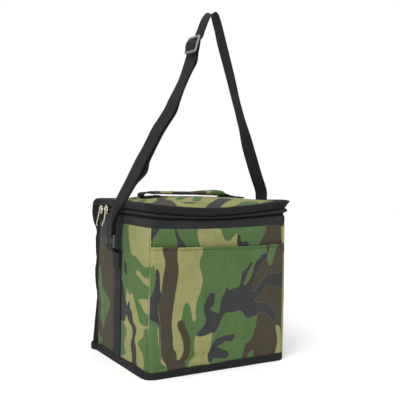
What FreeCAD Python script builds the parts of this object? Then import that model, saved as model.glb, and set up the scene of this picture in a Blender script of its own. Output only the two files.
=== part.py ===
import FreeCAD, Part
import math
import os
from FreeCAD import Vector

# Soft insulated bag: a foam-lined box of printed fabric with a zipped lid, a front pocket, a grab
# handle and a shoulder strap. Millimetres. The origin is the middle of the underside, the front
# faces -Y and +Z is up.

# ---- driving dimensions -------------------------------------------------------------------------
bag_width = 250.0
bag_depth = 205.0
corner_radius = 12.0
wall_top = 226.0            # height of the seam where the printed walls meet the zip tape

skin_thickness = 1.2
foam_thickness = 5.0
foil_thickness = 0.8

base_binding_height = 10.0
base_binding_flare = 6.0    # how far the binding stands out at the floor
base_binding_edge = 1.5     # how far it stands out at its upper edge

tape_inset = 0.5            # outer face of the zip tape behind the wall's outer face
tape_thickness = 1.0
lower_tape_height = 13.2
upper_tape_height = 10.7
coil_height = 1.6
coil_width = 2.0
zip_gap = 0.4               # between the two halves of the closed zip
zip_end_from_back = 15.0    # the zip stops this far short of the back wall

lid_foam_thickness = 6.0
lid_binding_height = 11.0
lid_binding_thickness = 2.0
lid_overhang = 6.0          # outer face of the lid binding beyond the walls

pocket_height = 187.0
pocket_gap = 4.6            # room inside the front pocket
pocket_side_margin = 2.0    # pocket edge inside the bag's side
pocket_corner = 5.0

back_binding_width = 8.0
back_binding_thickness = 2.4
back_binding_top_margin = 2.0

webbing_width = 25.0
webbing_thickness = 1.6
anchor_y = 8.0              # middle of the side webbing
anchor_drop = 41.0           # upper end of the side webbing below the wall's top
swing_drop = 15.0           # the stitched swing point below the side webbing's upper end
seat_gap = 0.3              # clearance between soft pieces that move past each other

ring_length = 33.0          # across the webbing
ring_height = 22.0
ring_bar = 4.0
ring_bar_round = 1.4
ring_outset = 16.0          # middle of the ring from the wall
ring_rise = 13.0            # middle of the ring above the side webbing's upper end
loop_gap = 0.5              # between a ring bar and the webbing looped round it

strap_thickness = 2.0
strap_lean = 9.0            # degrees, the standing strap leans towards the front

glide_rail = 3.2
glide_bar = 5.0
glide_bar_thickness = 2.0
glide_length = 26.0
glide_along = 0.85          # share of the straight run at which the adjuster sits

slider_length = 10.0
slider_height = 9.0
slider_thickness = 2.0
slider_gap = 0.3
front_slider_y = 52.0
rear_slider_y = 74.0
bail_width = 2.4
bail_height = 7.0
bail_depth = 3.2
bail_hole = 2.2
pull_pin = 1.6
pull_thickness = 1.6
pull_length = 30.0
pull_top_width = 7.0
pull_bottom_width = 9.5
pull_window_height = 5.0
pull_hole = 3.4
pull_above_bail = 2.0       # the pull's pivot above the zip line

handle_webbing_thickness = 2.0
handle_span = 180.0         # outer faces of the two upright ends
handle_height = 16.0        # middle of the grip's webbing above the lid
handle_bend = 7.0
handle_pivot_height = 6.0   # above the lid
handle_foot_radius = 5.7
handle_taper_height = 8.0
grip_length = 140.0
grip_width = 28.0
grip_thickness = 7.0
grip_shift = -7.0
handle_tab_length = 24.0
handle_tab_thickness = 1.6

# ---- worked-out places --------------------------------------------------------------------------
half_width = bag_width / 2
half_depth = bag_depth / 2
base_top = skin_thickness + foam_thickness
lining_inset = skin_thickness + foam_thickness
lower_tape_top = wall_top + lower_tape_height
zip_line = lower_tape_top + coil_height + zip_gap / 2
upper_coil_bottom = zip_line + zip_gap / 2
upper_tape_bottom = upper_coil_bottom + coil_height
lid_bottom = upper_tape_bottom + upper_tape_height
lid_foam_bottom = lid_bottom + foil_thickness
lid_skin_bottom = lid_foam_bottom + lid_foam_thickness
lid_top = lid_skin_bottom + skin_thickness
zip_end_y = half_depth - zip_end_from_back
anchor_top = wall_top - anchor_drop
swing_height = anchor_top - swing_drop
ring_middle_height = anchor_top + ring_rise
far = bag_width + bag_depth


def rounded_block(width, depth, radius, bottom, top):
    """Upright block centred on the Z axis with round vertical edges."""
    block = Part.makeBox(width, depth, top - bottom, Vector(-width / 2, -depth / 2, bottom))
    upright = [edge for edge in block.Edges if edge.BoundBox.ZLength > (top - bottom) * 0.99]
    return block.makeFillet(radius, upright)


def body_block(outset, bottom, top):
    """The bag's outline, moved out or in by outset."""
    return rounded_block(
        bag_width + 2 * outset, bag_depth + 2 * outset, corner_radius + outset, bottom, top
    )


def wall_ring(outer, inner, bottom, top):
    return body_block(outer, bottom, top).cut(body_block(inner, bottom, top))


def prism(points, bottom, top):
    """Upright prism over a plan outline."""
    corners = [Vector(x, y, bottom) for x, y in points]
    face = Part.Face(Part.makePolygon(corners + corners[:1]))
    return face.extrude(Vector(0, 0, top - bottom))


def side_sector(side, bottom, top):
    """The quarter of the plan that belongs to one wall, mitred at the corners."""
    spine = half_width - half_depth
    left = [(-half_width - far, -half_depth - far), (-spine, 0), (-half_width - far, half_depth + far)]
    front = [
        (-half_width - far, -half_depth - far),
        (half_width + far, -half_depth - far),
        (spine, 0),
        (-spine, 0),
    ]
    plans = {
        "left": left,
        "right": [(-x, y) for x, y in left],
        "front": front,
        "back": [(x, -y) for x, y in front],
    }
    return prism(plans[side], bottom, top)


def mirrored(shape):
    """The same piece on the right side."""
    return shape.mirror(Vector(0, 0, 0), Vector(1, 0, 0))


def rounded_path(points, bend=None):
    """Straight runs joined by tangent arcs of radius bend, or as large as the runs allow."""
    corners = [Vector(x, 0, z) for x, z in points]
    edges = []
    start = corners[0]
    for before, corner, after in zip(corners, corners[1:], corners[2:]):
        inward = (before - corner).normalize()
        outward = (after - corner).normalize()
        half_turn = (math.pi - inward.getAngle(outward)) / 2
        reach = 0.45 * min((before - corner).Length, (after - corner).Length)
        if bend is not None:
            reach = bend * math.tan(half_turn)
        radius = reach / math.tan(half_turn)
        entry = corner + inward * reach
        leave = corner + outward * reach
        middle_way = (inward + outward).normalize()
        middle = corner + middle_way * (radius / math.cos(half_turn) - radius)
        edges.append(Part.LineSegment(start, entry).toShape())
        edges.append(Part.Arc(entry, middle, leave).toShape())
        start = leave
    edges.append(Part.LineSegment(start, corners[-1]).toShape())
    return Part.Wire(edges)


def band(points, thickness, width, bend=None):
    """Webbing that follows a path in the XZ plane and is width wide along Y."""
    path = rounded_path(points, bend)
    start = path.Edges[0].Vertexes[0].Point
    ahead = (Vector(points[1][0], 0, points[1][1]) - Vector(points[0][0], 0, points[0][1])).normalize()
    across = Vector(-ahead.z, 0, ahead.x) * (thickness / 2)
    side = Vector(0, width / 2, 0)
    profile = Part.makePolygon([
        start + across + side,
        start - across + side,
        start - across - side,
        start + across - side,
        start + across + side,
    ])
    return path.makePipeShell([profile], True, False, 2)


def loop_round_bar(x, z, radius, thickness, width):
    """Closed loop of webbing round a ring bar that runs along Y."""
    start = Vector(x, -width / 2, z)
    outside = Part.makeCylinder(radius + thickness, width, start, Vector(0, 1, 0))
    inside = Part.makeCylinder(radius, width, start, Vector(0, 1, 0))
    return outside.cut(inside)


# ---- body ---------------------------------------------------------------------------------------
def make_base():
    panel = body_block(0, 0, skin_thickness)
    foam = body_block(-skin_thickness, skin_thickness, base_top)
    return {"base_panel": panel, "base_foam": foam}


def make_walls():
    skin = wall_ring(0, -skin_thickness, skin_thickness, wall_top)
    foam = wall_ring(-skin_thickness, -lining_inset, base_top, wall_top)
    walls = {}
    for side in ("front", "back", "left", "right"):
        sector = side_sector(side, 0, wall_top)
        walls[side + "_panel"] = skin.common(sector)
        walls[side + "_foam"] = foam.common(sector)
    return walls


def make_liner():
    outside = body_block(-lining_inset, base_top, wall_top)
    inside = body_block(-lining_inset - foil_thickness, base_top + foil_thickness, wall_top)
    return {"liner": outside.cut(inside)}


def make_base_binding():
    """Tape round the bottom edge: flared out at the floor, close to the wall at its top."""
    def outline(outset, height):
        ring = body_block(outset, height, height + 1)
        lowest = [face for face in ring.Faces if abs(face.CenterOfMass.z - height) < 0.01]
        return lowest[0].OuterWire
    solid = Part.makeLoft(
        [outline(base_binding_flare, 0), outline(base_binding_edge, base_binding_height)], True
    )
    return {"base_binding": solid.cut(body_block(0, 0, base_binding_height))}


def make_back_bindings():
    """Bound seams that stand out diagonally from the two back corners."""
    corner = Vector(-half_width + corner_radius, half_depth - corner_radius, base_binding_height)
    height = wall_top - back_binding_top_margin - base_binding_height
    fin = Part.makeBox(
        corner_radius + back_binding_width,
        back_binding_thickness,
        height,
        Vector(0, -back_binding_thickness / 2, 0),
    )
    fin.rotate(Vector(0, 0, 0), Vector(0, 0, 1), 135)
    fin.translate(corner)
    left = fin.cut(body_block(0, 0, wall_top))
    return {"back_left_binding": left, "back_right_binding": mirrored(left)}


def make_front_pocket():
    """Open-topped slip pocket over the front wall."""
    bottom = base_binding_height
    top = bottom + pocket_height
    outset = pocket_gap + skin_thickness
    half = half_width - pocket_side_margin
    reach = corner_radius + outset

    def slab(side_inset, front_inset, low, radius):
        block = Part.makeBox(
            2 * (half - side_inset),
            reach - front_inset,
            top - low,
            Vector(-half + side_inset, -half_depth - outset + front_inset, low),
        )
        front_edges = [
            edge for edge in block.Edges
            if edge.BoundBox.ZLength > 1 and edge.CenterOfMass.y < -half_depth
        ]
        return block.makeFillet(radius, front_edges)

    outside = slab(0, 0, bottom, pocket_corner)
    inside = slab(skin_thickness, skin_thickness, bottom + skin_thickness, pocket_corner - skin_thickness)
    return {"front_pocket": outside.cut(inside).cut(body_block(0, 0, wall_top))}


def make_lower_zip():
    tape = wall_ring(-tape_inset, -tape_inset - tape_thickness, wall_top, lower_tape_top)
    coil = wall_ring(0, -coil_width, lower_tape_top, lower_tape_top + coil_height)
    back = Part.makeBox(far, far, far, Vector(-far / 2, zip_end_y, 0))
    hinge = wall_ring(
        -tape_inset, -tape_inset - tape_thickness, wall_top, lower_tape_top + coil_height
    )
    return {
        "zip_tape_lower": tape.cut(back),
        "zip_coil_lower": coil.cut(back),
        "back_hinge_strip": hinge.common(back),
    }


def make_side_anchors():
    left = Part.makeBox(
        webbing_thickness,
        webbing_width,
        anchor_top - base_binding_height,
        Vector(-half_width - webbing_thickness, anchor_y - webbing_width / 2, base_binding_height),
    )
    return {"side_anchor_left": left, "side_anchor_right": mirrored(left)}


# ---- lid ----------------------------------------------------------------------------------------
def make_lid():
    edge = lid_overhang - lid_binding_thickness
    pieces = {
        "lid_liner": body_block(edge, lid_bottom, lid_foam_bottom),
        "lid_foam": body_block(edge, lid_foam_bottom, lid_skin_bottom),
        "lid_top_panel": body_block(edge, lid_skin_bottom, lid_top),
        "lid_binding": wall_ring(lid_overhang, edge, lid_top - lid_binding_height, lid_top),
    }
    tape = wall_ring(-tape_inset, -tape_inset - tape_thickness, upper_tape_bottom, lid_bottom)
    coil = wall_ring(0, -coil_width, upper_coil_bottom, upper_tape_bottom)
    hinge = wall_ring(-tape_inset, -tape_inset - tape_thickness, upper_coil_bottom, lid_bottom)
    back = Part.makeBox(far, far, far, Vector(-far / 2, zip_end_y, 0))
    pieces["zip_tape_upper"] = tape.cut(back)
    pieces["zip_coil_upper"] = coil.cut(back)
    pieces["lid_hinge_strip"] = hinge.common(back)
    left = Part.makeBox(
        handle_tab_length,
        webbing_width,
        handle_tab_thickness,
        Vector(
            -handle_span / 2 + handle_webbing_thickness + seat_gap,
            -webbing_width / 2,
            lid_top,
        ),
    )
    pieces["handle_tab_left"] = left
    pieces["handle_tab_right"] = mirrored(left)
    return pieces


def make_handle():
    """Webbing that stands on two rounded feet, with a padded grip round its middle."""
    pivot = lid_top + handle_pivot_height
    middle = lid_top + handle_height
    side = handle_span / 2 - handle_webbing_thickness / 2
    foot = pivot - handle_foot_radius
    thin = handle_webbing_thickness / 2
    half = webbing_width / 2
    corners = [(-side, foot), (-side, middle), (side, middle), (side, foot)]
    webbing = band(corners, handle_webbing_thickness, webbing_width, handle_bend)
    shoulder = pivot + handle_taper_height
    outline = [
        Vector(-handle_span, -handle_foot_radius, pivot),
        Vector(-handle_span, -half, shoulder),
        Vector(-handle_span, -half, middle + handle_bend),
        Vector(-handle_span, half, middle + handle_bend),
        Vector(-handle_span, half, shoulder),
        Vector(-handle_span, handle_foot_radius, pivot),
        Vector(-handle_span, -handle_foot_radius, pivot),
    ]
    envelope = Part.Face(Part.makePolygon(outline)).extrude(Vector(2 * handle_span, 0, 0))
    foot_round = Part.makeCylinder(
        handle_foot_radius, 2 * handle_span, Vector(-handle_span, 0, pivot), Vector(1, 0, 0)
    )
    webbing = webbing.common(envelope.fuse(foot_round)).removeSplitter()
    grip = Part.makeBox(
        grip_length,
        grip_width,
        grip_thickness,
        Vector(grip_shift - grip_length / 2, -grip_width / 2, middle - grip_thickness / 2),
    )
    long_edges = [edge for edge in grip.Edges if edge.BoundBox.XLength > grip_length * 0.99]
    grip = grip.makeFillet(grip_thickness * 0.4, long_edges)
    tunnel = Part.makeBox(
        grip_length,
        webbing_width,
        handle_webbing_thickness,
        Vector(grip_shift - grip_length / 2, -half, middle - thin),
    )
    return {"handle_webbing": webbing, "handle_grip": grip.cut(tunnel)}


# ---- zip sliders --------------------------------------------------------------------------------
def make_slider(name, y):
    """Slider on the outside of the coil, with a bail that holds the pull's pin."""
    outer = -half_width - slider_gap
    pivot_x = outer - slider_thickness - bail_depth / 2
    pivot_z = zip_line + pull_above_bail
    plate = Part.makeBox(
        slider_thickness,
        slider_length,
        slider_height,
        Vector(outer - slider_thickness, y - slider_length / 2, zip_line - slider_height / 2),
    )
    bail = Part.makeBox(
        bail_depth,
        bail_width,
        bail_height,
        Vector(outer - slider_thickness - bail_depth, y - bail_width / 2, pivot_z - bail_height / 2),
    )
    bail = bail.makeFillet(
        bail_width * 0.4, [e for e in bail.Edges if e.CenterOfMass.x < outer - slider_thickness - 0.1]
    )
    hole = Part.makeCylinder(
        bail_hole / 2, 2 * bail_width, Vector(pivot_x, y - bail_width, pivot_z), Vector(0, 1, 0)
    )
    slider = plate.fuse(bail).cut(hole).removeSplitter()

    top = pivot_z + pull_pin / 2
    window_bottom = top - pull_window_height
    bottom = top - pull_length
    inner_face = pivot_x + pull_thickness / 2
    outline = [
        Vector(inner_face, y - pull_top_width / 2, top),
        Vector(inner_face, y + pull_top_width / 2, top),
        Vector(inner_face, y + pull_bottom_width / 2, bottom),
        Vector(inner_face, y - pull_bottom_width / 2, bottom),
        Vector(inner_face, y - pull_top_width / 2, top),
    ]
    plate = Part.Face(Part.makePolygon(outline)).extrude(Vector(-pull_thickness, 0, 0))
    window_width = bail_width + 2 * slider_gap
    window = Part.makeBox(
        2 * pull_thickness,
        window_width,
        pull_window_height,
        Vector(pivot_x - pull_thickness, y - window_width / 2, window_bottom),
    )
    end_hole = Part.makeCylinder(
        pull_hole / 2,
        2 * pull_thickness,
        Vector(pivot_x - pull_thickness, y, bottom + pull_hole * 1.1),
        Vector(1, 0, 0),
    )
    pin = Part.makeCylinder(
        pull_pin / 2,
        window_width + 1,
        Vector(pivot_x, y - window_width / 2 - 0.5, pivot_z),
        Vector(0, 1, 0),
    )
    pull = plate.cut(window).cut(end_hole).fuse(pin).removeSplitter()
    return {"zip_slider_" + name: slider, "zip_pull_" + name: pull}


# ---- shoulder strap -----------------------------------------------------------------------------
ring_x = -half_width - ring_outset
ring_lower_bar = ring_middle_height - (ring_height - ring_bar) / 2
ring_upper_bar = ring_middle_height + (ring_height - ring_bar) / 2
loop_radius = ring_bar / 2 + loop_gap

# The strap's middle line in its own leaning plane: X, and the way up from the ring's upper bar.
strap_side_gap = 5.0        # the strap passes this far outside the edge of the lid
strap_side = half_width + lid_overhang + strap_side_gap + strap_thickness / 2
strap_points = [
    (ring_x, loop_radius + strap_thickness / 2),
    (-strap_side, 60.0),
    (-104.0, 112.0),
    (-76.0, 168.0),
    (-51.0, 216.0),
    (-14.0, 330.0),
    (-2.0, 371.0),
    (12.0, 367.0),
    (32.0, 325.0),
    (62.0, 260.0),
    (90.0, 202.0),
    (118.0, 142.0),
    (strap_side, 64.0),
    (-ring_x, loop_radius + strap_thickness / 2),
]
glide_run = (Vector(-51.0, 0, 216.0), Vector(-14.0, 0, 330.0))


def into_strap_plane(shape):
    """Lean a shape made upright over the ring's upper bar, and set it on that bar."""
    leaned = shape.copy()
    leaned.rotate(Vector(0, 0, 0), Vector(1, 0, 0), strap_lean)
    leaned.translate(Vector(0, anchor_y, ring_upper_bar))
    return leaned


def make_rings():
    outer = Part.makeBox(
        ring_bar,
        ring_length,
        ring_height,
        Vector(ring_x - ring_bar / 2, anchor_y - ring_length / 2, ring_middle_height - ring_height / 2),
    )
    inner = Part.makeBox(
        3 * ring_bar,
        ring_length - 2 * ring_bar,
        ring_height - 2 * ring_bar,
        Vector(
            ring_x - 1.5 * ring_bar,
            anchor_y - ring_length / 2 + ring_bar,
            ring_middle_height - ring_height / 2 + ring_bar,
        ),
    )
    ring = outer.cut(inner)
    ring = ring.makeFillet(ring_bar_round, ring.Edges)
    return {"strap_ring_left": ring, "strap_ring_right": mirrored(ring)}


def make_tabs():
    """Short webbing from the stitched swing point up and round the ring's lower bar."""
    ring_space = ring_length - 2 * ring_bar
    width = ring_space - 2 * seat_gap
    middle_x = -half_width - webbing_thickness - seat_gap - webbing_thickness / 2
    foot = swing_height - width / 2
    points = [
        (middle_x, foot),
        (middle_x, anchor_top - width / 4),
        (ring_x + loop_radius * 0.7, ring_lower_bar - loop_radius * 0.9),
    ]
    strip = band(points, webbing_thickness, width)
    strip.translate(Vector(0, anchor_y, 0))
    disc = Part.makeCylinder(
        width / 2, far, Vector(-far, anchor_y, swing_height), Vector(1, 0, 0)
    )
    above = Part.makeBox(far, far, far, Vector(-far, anchor_y - far / 2, swing_height))
    strip = strip.common(disc.fuse(above))
    loop = loop_round_bar(ring_x, ring_lower_bar, loop_radius, webbing_thickness, width)
    loop.translate(Vector(0, anchor_y, 0))
    bar_space = Part.makeCylinder(
        loop_radius, far, Vector(ring_x, -far / 2, ring_lower_bar), Vector(0, 1, 0)
    )
    left = strip.fuse(loop).cut(bar_space).removeSplitter()
    return {"strap_tab_left": left, "strap_tab_right": mirrored(left)}


def make_strap():
    """One length of webbing from ring to ring, looped round each ring's upper bar."""
    width = ring_length - 2 * ring_bar - 2 * seat_gap
    strap = into_strap_plane(band(strap_points, strap_thickness, width))
    for x in (ring_x, -ring_x):
        loop = loop_round_bar(x, ring_upper_bar, loop_radius, strap_thickness, width)
        loop.translate(Vector(0, anchor_y, 0))
        bar_space = Part.makeCylinder(
            loop_radius, far, Vector(x, -far / 2, ring_upper_bar), Vector(0, 1, 0)
        )
        strap = strap.fuse(loop).cut(bar_space)
    return {"shoulder_strap": strap.removeSplitter()}


def make_glide():
    """Three-bar adjuster: two bars over the webbing and one under it, between side rails."""
    strap_width = ring_length - 2 * ring_bar - 2 * seat_gap
    rail_y = strap_width / 2 + seat_gap
    over = strap_thickness / 2 + seat_gap
    rail_low = -over - glide_bar_thickness
    depth = 2 * (over + glide_bar_thickness)
    glide = None
    for side in (-rail_y - glide_rail, rail_y):
        rail = Part.makeBox(
            depth, glide_rail, glide_length, Vector(rail_low, side, -glide_length / 2)
        )
        glide = rail if glide is None else glide.fuse(rail)
    bars = (
        (rail_low, -glide_length / 2),
        (rail_low, glide_length / 2 - glide_bar),
        (over, -glide_bar / 2),
    )
    for x, z in bars:
        bar = Part.makeBox(glide_bar_thickness, 2 * rail_y, glide_bar, Vector(x, -rail_y, z))
        glide = glide.fuse(bar)
    low, high = glide_run
    place = low + (high - low) * glide_along
    lean_in = math.degrees(math.atan2(high.x - low.x, high.z - low.z))
    glide = glide.removeSplitter()
    glide.rotate(Vector(0, 0, 0), Vector(0, 1, 0), lean_in)
    glide.translate(place)
    return {"tri_glide": into_strap_plane(glide)}


# ---- write --------------------------------------------------------------------------------------
def make_all():
    nodes = {}
    for group in (
        make_base(),
        make_walls(),
        make_liner(),
        make_base_binding(),
        make_back_bindings(),
        make_front_pocket(),
        make_lower_zip(),
        make_side_anchors(),
        make_lid(),
        make_handle(),
        make_slider("front", front_slider_y),
        make_slider("rear", rear_slider_y),
        make_rings(),
        make_tabs(),
        make_strap(),
        make_glide(),
    ):
        nodes.update(group)
    return nodes


os.makedirs("parts", exist_ok=True)
for name, shape in make_all().items():
    if shape.ShapeType == "Compound" and len(shape.Solids) == 1:
        shape = shape.Solids[0]
    print(name, shape.ShapeType, len(shape.Solids), shape.isValid(), round(shape.Volume, 1), shape.BoundBox)
    shape.exportStep("parts/" + name + ".step")
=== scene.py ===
import math
import bmesh
import bpy
import numpy as np
from mathutils import Matrix, Vector, noise


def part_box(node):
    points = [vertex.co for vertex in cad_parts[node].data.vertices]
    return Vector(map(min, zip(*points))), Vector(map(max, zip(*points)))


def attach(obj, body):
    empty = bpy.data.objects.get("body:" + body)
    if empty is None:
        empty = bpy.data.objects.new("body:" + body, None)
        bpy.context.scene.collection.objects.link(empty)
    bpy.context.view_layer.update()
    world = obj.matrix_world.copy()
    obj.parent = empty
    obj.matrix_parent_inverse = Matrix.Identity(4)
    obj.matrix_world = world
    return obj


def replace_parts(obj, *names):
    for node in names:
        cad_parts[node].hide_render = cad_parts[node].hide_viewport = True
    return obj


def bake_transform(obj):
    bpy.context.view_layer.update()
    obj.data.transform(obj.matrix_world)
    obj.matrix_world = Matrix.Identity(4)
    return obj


# A soft insulated cooler bag in camouflage cloth, dressed over its CAD frame.
# Settings and shapes are in millimetres in the CAD's frame; finishMesh turns them into metres.

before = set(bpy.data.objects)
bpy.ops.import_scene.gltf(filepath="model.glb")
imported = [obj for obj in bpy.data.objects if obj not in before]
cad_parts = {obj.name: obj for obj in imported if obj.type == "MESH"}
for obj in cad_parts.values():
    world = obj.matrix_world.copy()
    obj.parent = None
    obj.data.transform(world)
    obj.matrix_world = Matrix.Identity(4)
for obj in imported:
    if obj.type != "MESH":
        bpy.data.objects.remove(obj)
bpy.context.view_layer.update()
mm = 0.001
weldGap = 0.02  # points of a mesh closer than this become one


def cadBox(node):
    low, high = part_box(node)
    return [value / mm for value in low], [value / mm for value in high]


wallLow, wallHigh = cadBox("front_panel")
pocketLow, pocketHigh = cadBox("front_pocket")
lowerTapeHigh = cadBox("zip_tape_lower")[1]
upperTapeLow, upperTapeHigh = cadBox("zip_tape_upper")
linerLow, linerHigh = cadBox("liner")
anchorLow, anchorHigh = cadBox("side_anchor_left")
bag = {
    "halfWidth": -cadBox("left_panel")[0][0],
    "halfDepth": -wallLow[1],
    "corner": 12.0,
    "wallTop": wallHigh[2],
    "zipEnd": lowerTapeHigh[1],
    "zipLine": (lowerTapeHigh[2] + upperTapeLow[2]) / 2,
    "lidTop": cadBox("lid_binding")[1][2],
    "skin": 1.2,
}


def sideName(side):
    return "right" if side > 0 else "left"


# Linear light from a colour's eight-bit levels.
def colour(red, green, blue):
    def linear(level):
        value = level / 255
        return value / 12.92 if value <= 0.04045 else ((value + 0.055) / 1.055) ** 2.4
    return (linear(red), linear(green), linear(blue), 1)


def scaled(ink, factor, lift=0.0):
    return tuple(min(1, part * factor + lift) for part in ink[:3]) + (1,)


class Nodes:
    def __init__(self, tree):
        self.tree = tree

    # Links a value that is another node's output, and sets any other.
    def fill(self, sockets, values):
        for key, value in values.items():
            if isinstance(value, bpy.types.NodeSocket):
                self.tree.links.new(value, sockets[key])
            else:
                sockets[key].default_value = value

    def add(self, kind, values=None, **settings):
        node = self.tree.nodes.new(kind)
        for key, value in settings.items():
            setattr(node, key, value)
        self.fill(node.inputs, values or {})
        return node

    def math(self, operation, first, second=0.5, third=0.5):
        values = {0: first, 1: second, 2: third}
        return self.add("ShaderNodeMath", values, operation=operation).outputs[0]

    def mix(self, factor, first, second, blend="MIX"):
        values = {0: factor, 6: first, 7: second}
        return self.add("ShaderNodeMix", values, data_type="RGBA", blend_type=blend).outputs[2]

    # Darkens or lightens a colour by one number.
    def tint(self, ink, tone):
        grey = self.add("ShaderNodeCombineColor", {0: tone, 1: tone, 2: tone}).outputs[0]
        return self.mix(1.0, ink, grey, "MULTIPLY")

    def ramp(self, value, low, high, start=0.0, end=1.0):
        values = {0: value, 1: low, 2: high, 3: start, 4: end}
        return self.add("ShaderNodeMapRange", values, interpolation_type="SMOOTHSTEP").outputs[0]

    def noise(self, vector, scale, detail=2.0, rough=0.5):
        values = {"Vector": vector, "Scale": scale, "Detail": detail, "Roughness": rough}
        return self.add("ShaderNodeTexNoise", values).outputs[0]

    def stretched(self, vector, scale):
        return self.add("ShaderNodeMapping", {"Vector": vector, "Scale": scale}).outputs[0]

    def group(self, tree, **values):
        node = self.add("ShaderNodeGroup", node_tree=tree)
        self.fill(node.inputs, values)
        return node.outputs

    def objectPlace(self):
        return self.add("ShaderNodeTexCoord").outputs["Object"]

    def clothPlace(self):
        return self.add("ShaderNodeUVMap").outputs[0]

    def bump(self, height, strength, distance):
        values = {"Height": height, "Strength": strength, "Distance": distance * mm}
        return self.add("ShaderNodeBump", values).outputs[0]


# A shader group that takes the given inputs and puts out numbers.
def newGroup(name, inputs, outputs):
    tree = bpy.data.node_groups.new(name, "ShaderNodeTree")
    for label, value in inputs.items():
        kind = "NodeSocketVector" if isinstance(value, tuple) else "NodeSocketFloat"
        tree.interface.new_socket(label, in_out="INPUT", socket_type=kind).default_value = value
    for label in outputs:
        tree.interface.new_socket(label, in_out="OUTPUT", socket_type="NodeSocketFloat")
    n = Nodes(tree)
    return n, n.add("NodeGroupInput").outputs, n.add("NodeGroupOutput").inputs


# Painted shade: cloth and tapes on the left side are darkened in an upright band where the strap
# shades them.
def makePaintedShade():
    n, given, result = newGroup("paintedShade", {"Vector": (0, 0, 0), "Middle": 0.012, "Reach": 0.012,
                                         "Low": 0.165, "High": 0.3}, ["Tone"])
    parts = n.add("ShaderNodeSeparateXYZ", {0: given["Vector"]}).outputs
    aside = n.math("ABSOLUTE", n.math("SUBTRACT", parts["Y"], given["Middle"]))
    near = n.ramp(n.math("SUBTRACT", aside, given["Reach"]), 0, 0.007, 1, 0)
    near = n.math("MULTIPLY", near, n.ramp(parts["X"], -0.125, -0.115, 1, 0))
    above = n.math("SUBTRACT", parts["Z"], given["Low"])
    below = n.math("SUBTRACT", parts["Z"], given["High"])
    near = n.math("MULTIPLY", near, n.ramp(above, 0, 0.03))
    near = n.math("MULTIPLY", near, n.ramp(below, 0, 0.03, 1, 0))
    n.fill(result, {"Tone": n.math("MULTIPLY_ADD", near, -0.78, 1.0)})
    return n.tree


# Plain weave: threads over and under each other, with slubs and streaks along both ways.
def makeWeave():
    n, given, result = newGroup("weave", {"Vector": (0, 0, 0), "Pitch": 0.8},
                                ["Height", "Streaks"])
    parts = n.add("ShaderNodeSeparateXYZ", {0: given["Vector"]}).outputs
    turns = n.math("DIVIDE", 2 * math.pi, given["Pitch"])
    slub = n.noise(given["Vector"], 0.9, 2)
    shift = n.math("MULTIPLY", slub, 0.9)
    warp = n.math("SINE", n.math("MULTIPLY_ADD", parts["X"], turns, shift))
    weft = n.math("SINE", n.math("MULTIPLY_ADD", parts["Y"], turns, shift))
    lengthways = n.stretched(given["Vector"], (0.55, 0.02, 1))
    crossways = n.stretched(given["Vector"], (0.02, 0.6, 1))
    both = n.math("ADD", n.noise(lengthways, 1, 3), n.noise(crossways, 1, 3))
    n.fill(result, {"Height": n.math("MULTIPLY_ADD", warp, weft, slub),
                    "Streaks": n.math("MULTIPLY", both, 0.5)})
    return n.tree


# Ribs across a tape, with the small steps of its threads.
def makeRibs():
    n, given, result = newGroup("ribs", {"Vector": (0, 0, 0), "Pitch": 1.6, "Twill": 0.0},
                                ["Height"])
    parts = n.add("ShaderNodeSeparateXYZ", {0: given["Vector"]}).outputs
    turns = n.math("DIVIDE", 2 * math.pi, given["Pitch"])
    slanted = n.math("MULTIPLY_ADD", parts["X"], given["Twill"], parts["Y"])
    rib = n.math("SINE", n.math("MULTIPLY", slanted, turns))
    thread = n.math("SINE", n.math("MULTIPLY", parts["X"], n.math("MULTIPLY", turns, 1.7)))
    n.fill(result, {"Height": n.math("MULTIPLY_ADD", thread, 0.35, rib)})
    return n.tree


# Soft lint and rubbed patches on dark cloth and plastic.
def makeWear():
    n, given, result = newGroup("wear", {"Vector": (0, 0, 0), "Scale": 1.0},
                                ["Patches", "Specks"])
    wide = n.noise(given["Vector"], n.math("MULTIPLY", given["Scale"], 22), 3, 0.6)
    fine = n.noise(given["Vector"], n.math("MULTIPLY", given["Scale"], 420), 2, 0.6)
    n.fill(result, {"Patches": n.ramp(wide, 0.35, 0.7), "Specks": n.ramp(fine, 0.62, 0.75)})
    return n.tree


paintedShadeGroup = makePaintedShade()
weaveGroup = makeWeave()
ribsGroup = makeRibs()
wearGroup = makeWear()
slotOf = {}  # the record's finish slot for each material


def newMaterial(name, slot=None):
    material = bpy.data.materials.new(name)
    material.use_nodes = True
    material.node_tree.nodes.clear()
    n = Nodes(material.node_tree)
    shader = n.add("ShaderNodeBsdfPrincipled")
    n.add("ShaderNodeOutputMaterial", {0: shader.outputs[0]})
    slotOf[material.name] = slot
    return material, n, shader.inputs


camoInks = {
    "khaki": colour(140, 139, 90),
    "green": colour(74, 102, 58),
    "brown": colour(64, 57, 44),
    "black": colour(50, 52, 51),
}


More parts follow.
